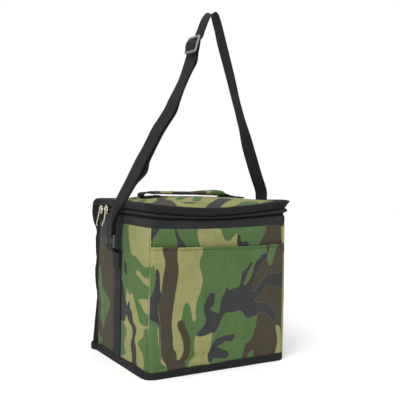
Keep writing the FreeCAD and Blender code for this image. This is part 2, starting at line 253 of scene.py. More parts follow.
# Printed cloth: the vertex fields green, brown and black hold the distance inside each shape.
def camoMaterial(name, shade=1.0):
    material, n, shader = newMaterial(name, "camo_fabric")
    place = n.objectPlace()
    weave = n.group(weaveGroup, Vector=n.clothPlace(), Pitch=1.1)
    frayed = n.math("MULTIPLY_ADD", n.noise(place, 900, 2), 1.1, -0.55)
    ink = scaled(camoInks["khaki"], shade)
    for field in ("green", "brown", "black"):
        inside = n.add("ShaderNodeAttribute", attribute_name=field).outputs["Fac"]
        covered = n.ramp(n.math("ADD", inside, frayed), -0.7, 0.7)
        ink = n.mix(covered, ink, scaled(camoInks[field], shade))
    cloudy = n.ramp(n.noise(place, 26, 3, 0.55), 0.3, 0.7, 0.93, 1.06)
    streaky = n.ramp(weave["Streaks"], 0.35, 0.65, 0.9, 1.1)
    grain = n.ramp(weave["Height"], -0.8, 1.6, 0.95, 1.05)
    tone = n.math("MULTIPLY", n.math("MULTIPLY", cloudy, streaky), grain)
    # Painted shade: the print is darkened beside the left strap.
    tone = n.math("MULTIPLY", tone, n.group(paintedShadeGroup, Vector=place)["Tone"])
    n.fill(shader, {"Base Color": n.tint(ink, tone), "Roughness": 0.78,
                    "Specular IOR Level": 0.25, "Normal": n.bump(weave["Height"], 0.5, 0.12)})
    return material


# Dark woven tape and webbing.
def tapeMaterial(name, slot, base, light, pitch, twill=0.0, depth=0.2, paintedShade=None):
    material, n, shader = newMaterial(name, slot)
    base, light = colour(*base), colour(*light)
    place = n.objectPlace()
    ribs = n.group(ribsGroup, Vector=n.clothPlace(), Pitch=pitch, Twill=twill)
    wear = n.group(wearGroup, Vector=place, Scale=1.0)
    # The rib crests are painted lighter than the grooves: a painted highlight on the ribs.
    crest = n.ramp(ribs["Height"], -0.6, 1.2)
    ink = n.mix(crest, base, light)
    ink = n.mix(n.math("MULTIPLY", wear["Patches"], 0.35), ink, light)
    ink = n.mix(n.math("MULTIPLY", wear["Specks"], 0.12), ink, scaled(light, 2.2, 0.01))
    # Painted shade: where given, the tape is darkened beside the left strap.
    if paintedShade:
        ink = n.tint(ink, n.group(paintedShadeGroup, Vector=place, **paintedShade)["Tone"])
    n.fill(shader, {"Base Color": ink, "Roughness": n.ramp(crest, 0, 1, 0.75, 0.63),
                    "Specular IOR Level": 0.14, "Normal": n.bump(ribs["Height"], 0.7, depth)})
    return material


# Moulded plastic or cast metal with a fine grain and rubbed edges.
def hardMaterial(name, slot, base, rubbed, metallic, rough, grainScale):
    material, n, shader = newMaterial(name, slot)
    place = n.objectPlace()
    wear = n.group(wearGroup, Vector=place, Scale=3.0)
    grain = n.noise(place, grainScale, 2)
    pointed = n.add("ShaderNodeNewGeometry").outputs["Pointiness"]
    worn = n.math("MAXIMUM", n.ramp(pointed, 0.5, 0.62), n.math("MULTIPLY", wear["Patches"], 0.3))
    n.fill(shader, {"Base Color": n.mix(worn, colour(*base), colour(*rubbed)),
                    "Roughness": n.ramp(wear["Patches"], 0, 1, rough, rough + 0.14),
                    "Metallic": metallic, "Normal": n.bump(grain, 0.25, 0.08)})
    return material


# Crinkled aluminium foil over thin foam.
def foilMaterial():
    material, n, shader = newMaterial("foil", "foil")
    place = n.objectPlace()
    cells = n.add("ShaderNodeTexVoronoi", {"Vector": place, "Scale": 90}, feature="F1")
    creases = n.math("ADD", cells.outputs["Distance"], n.noise(place, 160, 3))
    tone = n.ramp(n.noise(place, 60, 3), 0.3, 0.7)
    n.fill(shader, {"Base Color": n.mix(tone, colour(112, 115, 119), colour(166, 169, 172)),
                    "Roughness": n.ramp(tone, 0, 1, 0.3, 0.46), "Metallic": 0.75,
                    "Normal": n.bump(creases, 0.8, 1.2)})
    return material


# White closed-cell foam.
def foamMaterial():
    material, n, shader = newMaterial("foam")
    place = n.objectPlace()
    cells = n.add("ShaderNodeTexVoronoi", {"Vector": place, "Scale": 700}, feature="F1")
    depth = cells.outputs["Distance"]
    tone = n.ramp(n.noise(place, 40, 3), 0.3, 0.7)
    n.fill(shader, {"Base Color": n.mix(tone, colour(226, 226, 222), colour(238, 238, 234)),
                    "Roughness": n.ramp(depth, 0, 1, 0.8, 0.95),
                    "Normal": n.bump(depth, 0.5, 0.15)})
    return material


camoCloth = camoMaterial("camo_cloth")
# A lighter copy of the printed cloth: a painted highlight for the corner seam ridges and the
# pocket's mouth roll.
camoPipingHighlight = camoMaterial("camo_piping_highlight", 1.16)
# The binding, zip tape and webbing take painted shade beside the left strap; on the webbing it
# darkens the part near the left ring.
bindingTape = tapeMaterial("binding_tape", "binding_tape", (19, 19, 21), (35, 35, 37), 1.3,
                           depth=0.12, paintedShade={"Low": 0.165})
zipTape = tapeMaterial("zip_tape", "zip_tape", (28, 28, 30), (54, 54, 56), 2.2, depth=0.3,
                       paintedShade={"Low": 0.165})
webbing = tapeMaterial("webbing", "webbing", (26, 26, 28), (46, 46, 49), 1.5, 0.35, depth=0.25,
                       paintedShade={"Middle": -0.014, "Reach": 0.008, "Low": 0.19, "High": 0.24})
coilNylon = tapeMaterial("coil_nylon", "zip_coil", (20, 20, 21), (40, 40, 41), 0.9, depth=0.1)
threadBlack = tapeMaterial("thread", None, (38, 38, 38), (70, 70, 70), 0.5, depth=0.05)
blackPlastic = hardMaterial("black_plastic", "black_plastic", (44, 45, 47), (88, 89, 92), 0.0,
                            0.42, 1500)
greyPlastic = hardMaterial("grey_plastic", "black_plastic", (98, 100, 101), (140, 142, 143), 0.0,
                           0.4, 1500)
castMetal = hardMaterial("cast_metal", "zip_metal", (168, 158, 140), (224, 218, 200), 0.85, 0.32,
                         900)
foil = foilMaterial()
foam = foamMaterial()
print("materials", len(bpy.data.materials))


def finishMesh(name, bm, material, body, slot=None):
    bmesh.ops.scale(bm, vec=(mm, mm, mm), verts=bm.verts)
    mesh = bpy.data.meshes.new(name)
    bm.to_mesh(mesh)
    bm.free()
    mesh.materials.append(material)
    mesh.shade_smooth()
    obj = bpy.data.objects.new(name, mesh)
    bpy.context.collection.objects.link(obj)
    if body:
        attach(obj, body)
    slot = slot or slotOf[material.name]
    return obj


# Adds a grid whose vertex (column, row) sits at place(column, row), with a UV in millimetres.
def addGrid(bm, columns, rows, place, uvAt=None):
    uvLayer = bm.loops.layers.uv.verify()
    made = bmesh.ops.create_grid(bm, x_segments=columns - 1, y_segments=rows - 1, size=1)
    where = {}
    for vert in made["verts"]:
        column = round((vert.co.x + 1) / 2 * (columns - 1))
        row = round((vert.co.y + 1) / 2 * (rows - 1))
        where[vert] = (column, row)
    faces = {face for vert in made["verts"] for face in vert.link_faces}
    for vert, (column, row) in where.items():
        vert.co = place(column, row)
    for face in faces:
        for loop in face.loops:
            column, row = where[loop.vert]
            loop[uvLayer].uv = uvAt(column, row) if uvAt else (column, row)


# Welds a grid's seam, closes what is still open and turns the faces outwards.
def closeShell(bm, weld=weldGap, sharp=False):
    bmesh.ops.remove_doubles(bm, verts=bm.verts, dist=weld)
    rim = [edge for edge in bm.edges if edge.is_boundary]
    for edge in rim:
        edge.smooth = not sharp
    bmesh.ops.holes_fill(bm, edges=rim, sides=0)
    bmesh.ops.recalc_face_normals(bm, faces=bm.faces)


# Closes only the small hole left in the middle of a grid that runs round a point.
def closeMiddle(bm, reach=20):
    bmesh.ops.remove_doubles(bm, verts=bm.verts, dist=weldGap)
    rim = [edge for edge in bm.edges if edge.is_boundary and edge.verts[0].co.xy.length < reach]
    bmesh.ops.holes_fill(bm, edges=rim, sides=0)


def solidify(obj, thickness):
    modifier = obj.modifiers.new("thickness", "SOLIDIFY")
    modifier.thickness = thickness * mm
    modifier.offset = -1.0
    modifier.use_even_offset = True


def subdivide(obj):
    modifier = obj.modifiers.new("smooth", "SUBSURF")
    modifier.levels = 1
    modifier.render_levels = 1


def ease(low, high, value):
    share = min(max((value - low) / (high - low), 0), 1)
    return share * share * (3 - 2 * share)


# Value at x on the smooth curve through the given (x, value) points.
def along(points, x):
    if x <= points[0][0]:
        return points[0][1]
    for (x0, v0), (x1, v1) in zip(points, points[1:]):
        if x <= x1:
            return v0 + (v1 - v0) * ease(x0, x1, x)
    return points[-1][1]


def ripple(x, y, z, size, seed=0.0):
    return noise.noise(Vector((x / size + seed, y / size - seed, z / size + 0.37 * seed)))


# A bell of height 1 round `middle`.
def bell(value, middle, width):
    return math.exp(-((value - middle) / width) ** 2)


# Distance from the first point to each point of a line.
def runningLengths(points):
    lengths = [0.0]
    for before, after in zip(points, points[1:]):
        lengths.append(lengths[-1] + math.dist(before, after))
    return lengths


# A Catmull-Rom curve's value between b and c.
def curveBetween(a, b, c, d, t):
    return 0.5 * (2 * b + (c - a) * t + (2 * a - 5 * b + 4 * c - d) * t * t
                  + (3 * b - a - 3 * c + d) * t ** 3)


# Smooth line through points: `steps` places between neighbours, each point keeping all its values.
def smoothLine(points, steps=8):
    points = [tuple(float(value) for value in point) for point in points]
    padded = [points[0]] + points + [points[-1]]
    made = []
    for index in range(1, len(padded) - 2):
        for step in range(steps):
            made.append(tuple(curveBetween(*values, step / steps)
                              for values in zip(*padded[index - 1:index + 3])))
    made.append(points[-1])
    return made


# The bag's rounded plan as columns: place, outward direction, panel and distance along the panel.
# It starts in the middle of the back and passes the left side, the front and the right side.
def planColumns(halfX, halfY, radius, step, arcSteps):
    flatX = halfX - radius
    flatY = halfY - radius
    runs = [("back", 0.0, -flatX), ("left", flatY, -flatY), ("front", -flatX, flatX),
            ("right", -flatY, flatY), ("back", flatX, 0.0)]
    stops = []
    for index, (panel, first, last) in enumerate(runs):
        count = max(2, round(abs(last - first) / step))
        stops += [(panel, first + (last - first) * part / count, 0.0) for part in range(count)]
        if index < 4:
            nextPanel, nextFirst = runs[index + 1][:2]
            for part in range(arcSteps):
                turn = 2 * part / arcSteps
                stops.append((panel, last, turn) if turn < 1 else (nextPanel, nextFirst, turn - 2))
    stops.append(("back", 0.0, 0.0))

    facing = {"front": (0, -1, 0), "right": (1, 0, 0), "back": (0, 1, 0), "left": (-1, 0, 0)}
    turned = {"front": (1, 0, 0), "right": (0, 1, 0), "back": (-1, 0, 0), "left": (0, -1, 0)}
    quarter = radius * math.pi / 4
    columns = []
    for panel, place, turn in stops:
        normal = Vector(facing[panel])
        ahead = Vector(turned[panel])
        angle = turn * math.pi / 4
        if panel in ("front", "back"):
            centre = Vector((place, normal.y * flatY, 0))
        else:
            centre = Vector((normal.x * flatX, place, 0))
        outward = normal * math.cos(angle) + ahead * math.sin(angle)
        spot = centre + outward * radius
        columns.append({
            "x": spot.x,
            "y": spot.y,
            "out": outward,
            "panel": panel,
            "along": place + (ahead.x + ahead.y) * turn * quarter,
        })
    for column, length in zip(columns, runningLengths([(c["x"], c["y"]) for c in columns])):
        column["length"] = length
    return columns


def lifted(column, outset, z):
    out = column["out"]
    return Vector((column["x"] + out.x * outset, column["y"] + out.y * outset, z))


# A ring or band whose section is a list of (outset, height) points for each column.
def loftSection(name, columns, sectionAt, closedSection, material, body):
    bm = bmesh.new()
    sections = [sectionAt(column) for column in columns]
    count = len(sections[0])

    def place(index, row):
        outset, z = sections[index][row % count]
        return lifted(columns[index], outset, z)

    heights = runningLengths(sections[0] + sections[0][:1])
    addGrid(bm, len(columns), count + closedSection, place,
            lambda c, r: (columns[c]["length"], heights[r]))
    if closedSection:
        closeShell(bm)
    else:
        bmesh.ops.remove_doubles(bm, verts=bm.verts, dist=weldGap)
    return finishMesh(name, bm, material, body)


# Walks along (point, mark) spots and stops at `first` and then every `pitch`.
def pacedAlong(spots, first, pitch):
    travelled = 0.0
    nextAt = first
    for (before, mark), (after, _) in zip(spots, spots[1:]):
        run = (after - before).length
        while run > 0 and travelled + run >= nextAt:
            spot = before.lerp(after, (nextAt - travelled) / run)
            yield spot, (after - before).normalized(), mark
            nextAt += pitch
        travelled += run


# A small rounded bead with its three half sizes along the given axes.
def addBead(bm, spot, axes, halfSizes, subdivisions=1):
    turn = Matrix(axes).transposed().to_4x4()
    matrix = Matrix.Translation(spot) @ turn @ Matrix.Diagonal((*halfSizes, 1))
    bmesh.ops.create_icosphere(bm, subdivisions=subdivisions, radius=1, matrix=matrix)


# Short thread stitches along a list of (point, outward direction) places.
def stitchRow(name, spots, body, slot, length=2.6, pitch=3.8, radius=0.32):
    sunk = 0.05  # how far the thread is pulled into the cloth
    bm = bmesh.new()
    for spot, ahead, out in pacedAlong(spots, pitch / 2, pitch):
        side = ahead.cross(out).normalized()
        up = side.cross(ahead)
        addBead(bm, spot + up * (radius * 0.5 - sunk), (ahead, side, up),
                (length / 2, radius, radius * 0.8))
    return finishMesh(name, bm, threadBlack, body, slot)


bindingStitch = {"length": 2.6, "pitch": 3.6, "radius": 0.26}


# Flat webbing along a path of (middle, across direction) places, `thick` deep.
def webbingStrip(name, spots, width, thick, body, material=webbing, edge=0.35, across=9):
    edgeFrom = 0.86  # the share of the half width where it starts to thin towards its edge
    shares = [index / (across - 1) * 2 - 1 for index in range(across)]
    ring = [(share, 1) for share in shares] + [(-share, -1) for share in shares]
    middles = [spot for spot, _ in spots]
    lengths = runningLengths(middles)

    def place(index, row):
        middle, side = spots[index]
        ahead = middles[min(index + 1, len(middles) - 1)] - middles[max(index - 1, 0)]
        side = side.normalized()
        up = side.cross(ahead).normalized()
        position, layer = ring[row % len(ring)]
        tuck = 1 - edge * ease(edgeFrom, 1.0, abs(position))
        return middle + side * (position * width / 2) + up * (layer * thick / 2 * tuck)

    bm = bmesh.new()
    addGrid(bm, len(spots), len(ring) + 1, place,
            lambda c, r: (lengths[c], ring[r % len(ring)][0] * width / 2))
    closeShell(bm, 0.01, sharp=True)
    return finishMesh(name, bm, material, body)


# Each shape is a closed smooth outline on its panel, painted over the ones before it.
# Panel coordinates: along the panel (x, or y on the sides) and height.
pocketShapes = [
    ("green", [(-32, 204), (-36, 190), (-41, 178), (-42, 166), (-37, 150), (-36, 142), (-40, 128),
               (-48, 106), (-48, 88), (-50, 82), (-54, 85), (-57, 100), (-61, 110), (-66, 112),
               (-70, 105), (-73, 90), (-80, 80), (-70, 50), (-60, 32), (-64, 24), (-68, 2),
               (0, -10), (140, 0), (140, 120), (136, 206), (60, 212)]),
    ("green", [(-119, 167), (-126, 168), (-140, 165), (-140, 0), (-100, 2), (-96, 17), (-104, 24),
               (-112, 60), (-113, 110)]),
    ("brown", [(-107, 206), (-106, 190), (-102, 174), (-104, 160), (-107, 140), (-108, 125),
               (-113, 108), (-110, 92), (-108, 60), (-107, 36), (-97, 20), (-92, 4), (-66, 4),
               (-64, 22), (-58, 30), (-57, 48), (-59, 61), (-65, 74), (-68, 84), (-74, 87),
               (-80, 84), (-80, 76), (-73, 62), (-70, 50), (-70, 36), (-75, 26), (-80, 27),
               (-82, 38), (-87, 46), (-88, 62), (-90, 86), (-86, 116), (-80, 148), (-79, 165),
               (-82, 184), (-82, 206), (-95, 214)]),
    ("brown", [(87, 206), (86, 188), (86, 178), (70, 166), (56, 130), (66, 96), (68, 84), (65, 66),
               (58, 46), (50, 39), (46, 34), (44, 2), (90, -8), (140, 0), (142, 100), (140, 204)]),
    ("green", [(52, 2), (52, 14), (57, 22), (61, 24), (63, 18), (62, 2)]),
    ("black", [(-117, 167), (-112, 162), (-110, 146), (-109, 132), (-105, 128), (-108, 122),
               (-113, 106), (-110, 90), (-107.6, 66), (-107, 36), (-106.6, 19), (-109, 19),
               (-109.6, 50), (-111, 76), (-116, 86), (-124, 90), (-130, 92), (-130, 112),
               (-122, 132), (-118, 148)]),
    ("black", [(-22, 124), (-15, 124), (-13, 119), (-14, 111), (-15, 105), (-22, 99), (-14, 94),
               (-9, 91), (-5, 96), (-3, 106), (0, 117), (5, 123), (7, 130), (11, 131), (14, 127),
               (24, 129), (32, 131), (36, 140), (38, 153), (46, 159), (51, 164), (55, 169),
               (59, 167), (52, 157), (48, 147), (42, 134), (46, 133), (55, 143), (59, 154),
               (64, 168), (72, 175), (82, 183), (90, 180), (87, 173), (76, 163), (71, 151),
               (64, 143), (59, 126), (61, 120), (69, 128), (84, 144), (96, 148), (112, 148),
               (122, 153), (136, 152), (136, 120), (120, 121), (108, 125), (88, 128), (80, 119),
               (68, 110), (64, 106), (72, 102), (86, 101), (97, 95), (104, 86), (109, 70),
               (104, 67), (96, 74), (86, 81), (77, 86), (66, 82), (56, 79), (47, 79), (40, 87),
               (32, 92), (22, 90), (8, 90), (1, 85), (-6, 72), (-12, 63), (-24, 60), (-38, 58),
               (-47, 60), (-44, 66), (-34, 74), (-30, 84), (-34, 96), (-33, 106), (-27, 118)]),
    ("black", [(24, 55), (6, 55), (-10, 52), (-18, 44), (-22, 34), (-24, 22), (-20, 14), (-15, 16),
               (-12, 21), (-2, 18), (11, 17), (16, 23), (12, 30), (0, 34), (-8, 38), (-3, 41),
               (8, 45), (20, 44)]),
    ("black", [(114, 80), (119, 82), (130, 82), (130, 66), (119, 64), (115, 70)]),
    ("khaki", [(-49, 59), (-40, 58), (-28, 59.5), (-19, 62), (-20, 48), (-22, 34), (-25, 26),
               (-22, 16), (-20, 2), (-56, 2), (-58, 17), (-52, 26), (-49, 32), (-51, 42)]),
    ("khaki", [(107, 60), (112, 60), (117, 57), (121, 42), (123, 24), (126, 2), (108, 2),
               (111, 24), (112, 38)]),
    ("green", [(93, 206), (92, 188), (88, 173), (91, 163), (97, 163), (101, 176), (107, 194),
               (106, 206)]),
]
frontShapes = [
    ("green", [(-140, 234), (-50, 234), (-44, 219), (-42, 206), (-41, 180), (-140, 180)]),
    ("green", [(-1, 236), (0, 222), (6, 208), (12, 204), (18, 205), (25, 212), (31, 214),
               (33, 196), (60, 186), (140, 186), (140, 236)]),
    ("black", [(-140, 236), (-109, 236), (-112, 221), (-120, 210), (-126, 203), (-140, 200)]),
    ("black", [(-86, 236), (-81, 230), (-78, 219), (-70, 207), (-61, 194), (-79, 192), (-79, 206),
               (-83, 217)]),
    ("black", [(31, 212), (35, 214), (38, 209), (40, 202), (50, 203), (54, 194), (33, 192)]),
    ("brown", [(92, 236), (88, 219), (82, 208), (77, 190), (124, 190), (119, 206), (119, 236)]),
    ("khaki", [(120, 236), (119, 214), (123, 190), (140, 190), (140, 236)]),
]
leftShapes = [
    ("green", [(-20, 240), (-26, 222), (-31, 200), (-38, 183), (-54, 179), (-70, 172), (-90, 167),
               (-112, 165), (-114, 86), (-98, 80), (-86, 78), (-74, 81), (-66, 95), (-54, 112),
               (-44, 121), (-37, 116), (-30, 122), (-26, 127), (-22, 112), (0, 90), (30, 100),
               (30, 240)]),
    ("green", [(-114, 78), (-90, 72), (-88, 62), (-74, 53), (-69, 47), (-78, 39), (-90, 29),
               (-91, -6), (-114, -6)]),
    ("green", [(0, 72), (-14, 68), (-25, 62), (-25, 52), (-19, 42), (-18, 28), (-25, 21), (4, 14)]),
    ("brown", [(12, 200), (40, 214), (84, 228), (120, 232), (122, -8), (12, -8)]),
    ("black", [(-2, 238), (-6, 230), (-4, 220), (0, 208), (6, 194), (30, 176), (58, 178),
               (84, 196), (94, 214), (60, 236), (20, 240)]),
    ("black", [(-2, 132), (-12, 130), (-18, 114), (-28, 98), (-31, 104), (-37, 106), (-39, 97),
               (-47, 90), (-51, 78), (-62, 70), (-62, 62), (-57, 50), (-63, 36), (-64, 20),
               (-68, -6), (-46, -6), (-47, 22), (-42, 40), (-49, 54), (-47, 67), (-34, 74),
               (-24, 84), (-20, 72), (-8, 70), (4, 80)]),
    ("black", [(-12, 168), (-22, 164), (-25, 153), (-23, 145), (-14, 151)]),
    ("khaki", [(-58, 158), (-68, 158), (-84, 152), (-100, 150), (-100, 141), (-86, 142),
               (-70, 149), (-58, 153)]),
    ("khaki", [(-69, 114), (-80, 118), (-101, 118), (-99, 98), (-90, 101), (-78, 109)]),
    ("green", [(90, 146), (80, 130), (72, 110), (52, 100), (41, 88), (47, 76), (62, 58), (66, 44),
               (76, 50), (84, 60), (78, 76), (82, 92), (92, 110), (104, 130)]),
    ("green", [(100, 36), (88, 26), (72, 22), (84, 10), (108, 4)]),
]


def mirroredShapes(shapes, place):
    return [(ink, [place(a, z) for a, z in outline]) for ink, outline in shapes]


# Rounds a closed outline, with four steps between neighbouring points.
def smoothOutline(outline, steps=4):
    points = np.array(outline, float)
    count = len(points)
    made = []
    for index in range(count):
        near = [points[(index + shift) % count] for shift in (-1, 0, 1, 2)]
        made += [curveBetween(*near, step / steps) for step in range(steps)]
    return np.array(made)


# Distance from each place to the outline: above nothing inside it and below outside.
def distanceInside(places, outline):
    closest = np.full(len(places), 1e9)
    inside = np.zeros(len(places), bool)
    for start, end in zip(outline, np.roll(outline, -1, axis=0)):
        run = end - start
        offset = places - start
        share = np.clip(offset @ run / max(run @ run, 1e-9), 0, 1)
        closest = np.minimum(closest, np.linalg.norm(offset - share[:, None] * run, axis=1))
        crosses = (start[1] > places[:, 1]) != (end[1] > places[:, 1])
        slope = run[0] / run[1] if abs(run[1]) > 1e-9 else 0.0
        inside ^= crosses & (places[:, 0] < start[0] + (places[:, 1] - start[1]) * slope)
    return np.where(inside, closest, -closest)


# Writes the fields that the printed cloth reads. labels says which shape list each vertex uses.
def paintCamo(obj, places, labels, shapeLists):
    s = {"waver": 0.7, "size": 9, "reach": 20.0}
    places = np.array(places, float)
    shaken = places.copy()
    for index, (a, z) in enumerate(places):
        for axis, seed in ((0, 3.1), (1, 7.7)):
            spot = Vector((a / s["size"], z / s["size"], seed))
            shaken[index, axis] += s["waver"] * noise.noise(spot)
    labels = np.array(labels)
    fields = {ink: np.full(len(places), -s["reach"]) for ink in ("green", "brown", "black")}
    for label, shapes in shapeLists.items():
        chosen = np.nonzero(labels == label)[0]
        if len(chosen) == 0:
            continue
        for ink, outline in shapes:
            depth = distanceInside(shaken[chosen], smoothOutline(outline))
            for field, values in fields.items():
                if field == ink:
                    values[chosen] = np.maximum(values[chosen], depth)
                else:
                    values[chosen] = np.minimum(values[chosen], -depth)
    for field, values in fields.items():
        values = np.clip(values, -s["reach"], s["reach"]).astype(np.float32)
        obj.data.attributes.new(field, "FLOAT", "POINT").data.foreach_set("value", values)


wallShapes = {
    "front": frontShapes,
    "left": leftShapes,
    "right": mirroredShapes(leftShapes, lambda a, z: (-a, bag["wallTop"] - z)),
    "back": mirroredShapes(pocketShapes + [("khaki", [(-30, 236), (-20, 214), (10, 206),
                                                      (44, 214), (52, 236)])],
                           lambda a, z: (-a, z + 12)),
}

# The front of the lid's edge: it sags in the middle and stands up at the right corner.
frontEdge = [(-125, 1.6), (-112, -0.8), (-87, -3.2), (-61, -4.6), (-24, -5.8), (8, -5.0), (31, -2.9),
             (54, -1.0), (75, 1.2), (95, 3.1), (108, 4.8), (118, 6.6), (128, 8.0)]


# Rise of the lid's edge above its CAD height.
def lidRise(x, y):
    front = along(frontEdge, x) * (1 - ease(-108, -10, y))
    side = (1.8 + 3.0 * ease(20, 120, x)) * ease(-108, -10, y)
    side *= 1 - 0.35 * ease(30, 110, y) * ease(0, 100, x)
    return front + side + 0.4 * ripple(x, y, 0, 46, 2.0)


# One at a corner of the plan, falling off to nothing a little way along both sides.
def cornerEar(x, y, sideX, sideY, size=13):
    dx = x - sideX * bag["halfWidth"]
    dy = y - sideY * bag["halfDepth"]
    return math.exp(-(dx * dx + dy * dy) / (size * size))


# The zip and the seams near it follow the lid's edge, less and less downwards.
def seamRise(x, y, z):
    return lidRise(x, y) * along([(bag["wallTop"] - 22, 0.0), (bag["zipLine"], 0.6), (251, 1.0)], z)


# The walls are soft: a slight belly, slow waves and a little slack near the floor.
def wallBelly(x, y, z):
    s = {"corner": 2.0, "waves": 1.1, "slack": 0.7, "squeeze": 1.6, "least": -0.2}
    belly = math.sin(math.pi * min(max(z / bag["wallTop"], 0), 1))
    belly += s["corner"] * cornerEar(x, y, 1, -1, 14)
    belly += s["waves"] * ripple(x, y, z, 62, 5.0)
    slack = ripple(x * s["squeeze"], y * s["squeeze"], z, 24, 9.0) * (1 - ease(30, 90, z))
    return max(s["least"], belly + s["slack"] * slack)


def wallColumns(step=2.6, arcSteps=8):
    return planColumns(bag["halfWidth"], bag["halfDepth"], bag["corner"], step, arcSteps)


def makeBagWalls():
    s = {"rows": 88, "bottom": 1.4, "thick": bag["skin"] * 0.8}
    columns = wallColumns()
    top = bag["wallTop"]

    def height(row):
        return s["bottom"] + (top - s["bottom"]) * row / (s["rows"] - 1)

    def place(index, row):
        column = columns[index]
        z = height(row)
        x, y = column["x"], column["y"]
        return lifted(column, wallBelly(x, y, z), z + seamRise(x, y, z))

    bm = bmesh.new()
    addGrid(bm, len(columns), s["rows"], place, lambda c, r: (columns[c]["length"], height(r)))
    gridIndex = bm.verts.layers.int.new("grid")
    for index, vert in enumerate(bm.verts):
        vert[gridIndex] = index
    bmesh.ops.remove_doubles(bm, verts=bm.verts, dist=weldGap)
    obj = finishMesh("bag_walls", bm, camoCloth, "bag")
    where = [divmod(item.value, len(columns)) for item in obj.data.attributes["grid"].data]
    paintCamo(obj, [(columns[column]["along"], height(row)) for row, column in where],
              [columns[column]["panel"] for _, column in where], wallShapes)
    solidify(obj, s["thick"])
    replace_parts(obj, "front_panel", "back_panel", "left_panel", "right_panel")


# A raised ridge along each front corner where the front and side cloth are sewn together.
def makeCornerSeam(side):
    s = {"halfWidth": 1.3, "rows": 100, "across": 9, "foot": 6, "thick": 0.8, "waver": 0.8,
         "sunk": 0.5, "inkShift": 3, "stitchFoot": 12, "stitchRows": 60,
         "proud": [(0, 2.2)] if side < 0 else [(0, 6.4), (60, 6.8), (100, 6.0), (130, 5.2),
                                               (236, 5.4)]}
    corner = next(c for c in wallColumns() if c["x"] * side > 0 and c["y"] < 0
                  and abs(abs(c["out"].x) - abs(c["out"].y)) < 0.02)
    x, y, out = corner["x"], corner["y"], corner["out"]
    top = bag["wallTop"]
    ahead = Vector((-out.y, out.x, 0))

    def onCorner(z, outset, sideways):
        spot = Vector((x, y, z + seamRise(x, y, z)))
        return spot + out * (wallBelly(x, y, z) + outset) + ahead * sideways

    def place(index, row):
        z = s["foot"] + (top - s["foot"]) * row / (s["rows"] - 1)
        share = index / (s["across"] - 1) * 2 - 1
        wobble = s["waver"] * ripple(side * 40, 3, z, 34, 4.0)
        proud = along(s["proud"], z) * (1 - abs(share) ** 2.2)
        proud -= s["sunk"] * (1 + share * share / 2)
        return onCorner(z, proud, share * s["halfWidth"] + wobble)

    bm = bmesh.new()
    addGrid(bm, s["across"], s["rows"], place, lambda c, r: (c * 0.6, r * 2.2))
    # The ridge is printed in the lighter copy of the cloth, a painted highlight.
    obj = finishMesh("corner_seam_" + sideName(side), bm, camoPipingHighlight, "bag")
    places = []
    labels = []
    for vert in obj.data.vertices:
        z = vert.co.z / mm
        inFront = (vert.co / mm - Vector((x, y, z))).dot(ahead) * side < 0
        onFront = side * (bag["halfWidth"] - s["inkShift"])
        places.append((onFront if inFront else -bag["halfDepth"] + s["inkShift"], z))
        labels.append("front" if inFront else sideName(side))
    paintCamo(obj, places, labels, wallShapes)
    solidify(obj, s["thick"])
    # The seam's stitches lie on the side cloth; on the front a nearly unbroken dark thread row is a
    # painted shadow line beside the ridge.
    high = top - 4
    heights = [s["stitchFoot"] + (high - s["stitchFoot"]) * row / (s["stitchRows"] - 1)
               for row in range(s["stitchRows"])]
    for name, sideways, back, length in (("_stitches", 2.9, -0.3, 2.6), ("_painted_shadow_line", -1.9, 0.1, 4.2)):
        spots = [(onCorner(z, back, side * sideways), out) for z in heights]
        stitchRow(obj.name + name, spots, "bag", "camo_fabric", length)


# Slack in the pocket's cloth: it hangs over itself above the floor seam.
def pocketBelly(x, z):
    side = 1 - ease(92, 122, abs(x))
    knee = 27 + 9 * ease(-110, -20, x)
    low = ease(8, knee + 12, z) * (1 - ease(knee + 20, 150, z))
    crease = -1.3 * bell(z, along([(-126, 11), (-80, 21), (-40, 27), (0, 30)], x), 3.2)
    crease *= 1 - ease(-40, 20, x)
    slow = 0.8 * ripple(x, 0, z, 55, 1.0)
    return side * (3.6 * low + slow) + crease * (1 - ease(112, 122, abs(x)))


def pocketTop(x):
    return along([(-125, 198.6), (-60, 196.6), (0, 195.8), (60, 194.6), (110, 196.2), (124, 197.4)],
                 x)


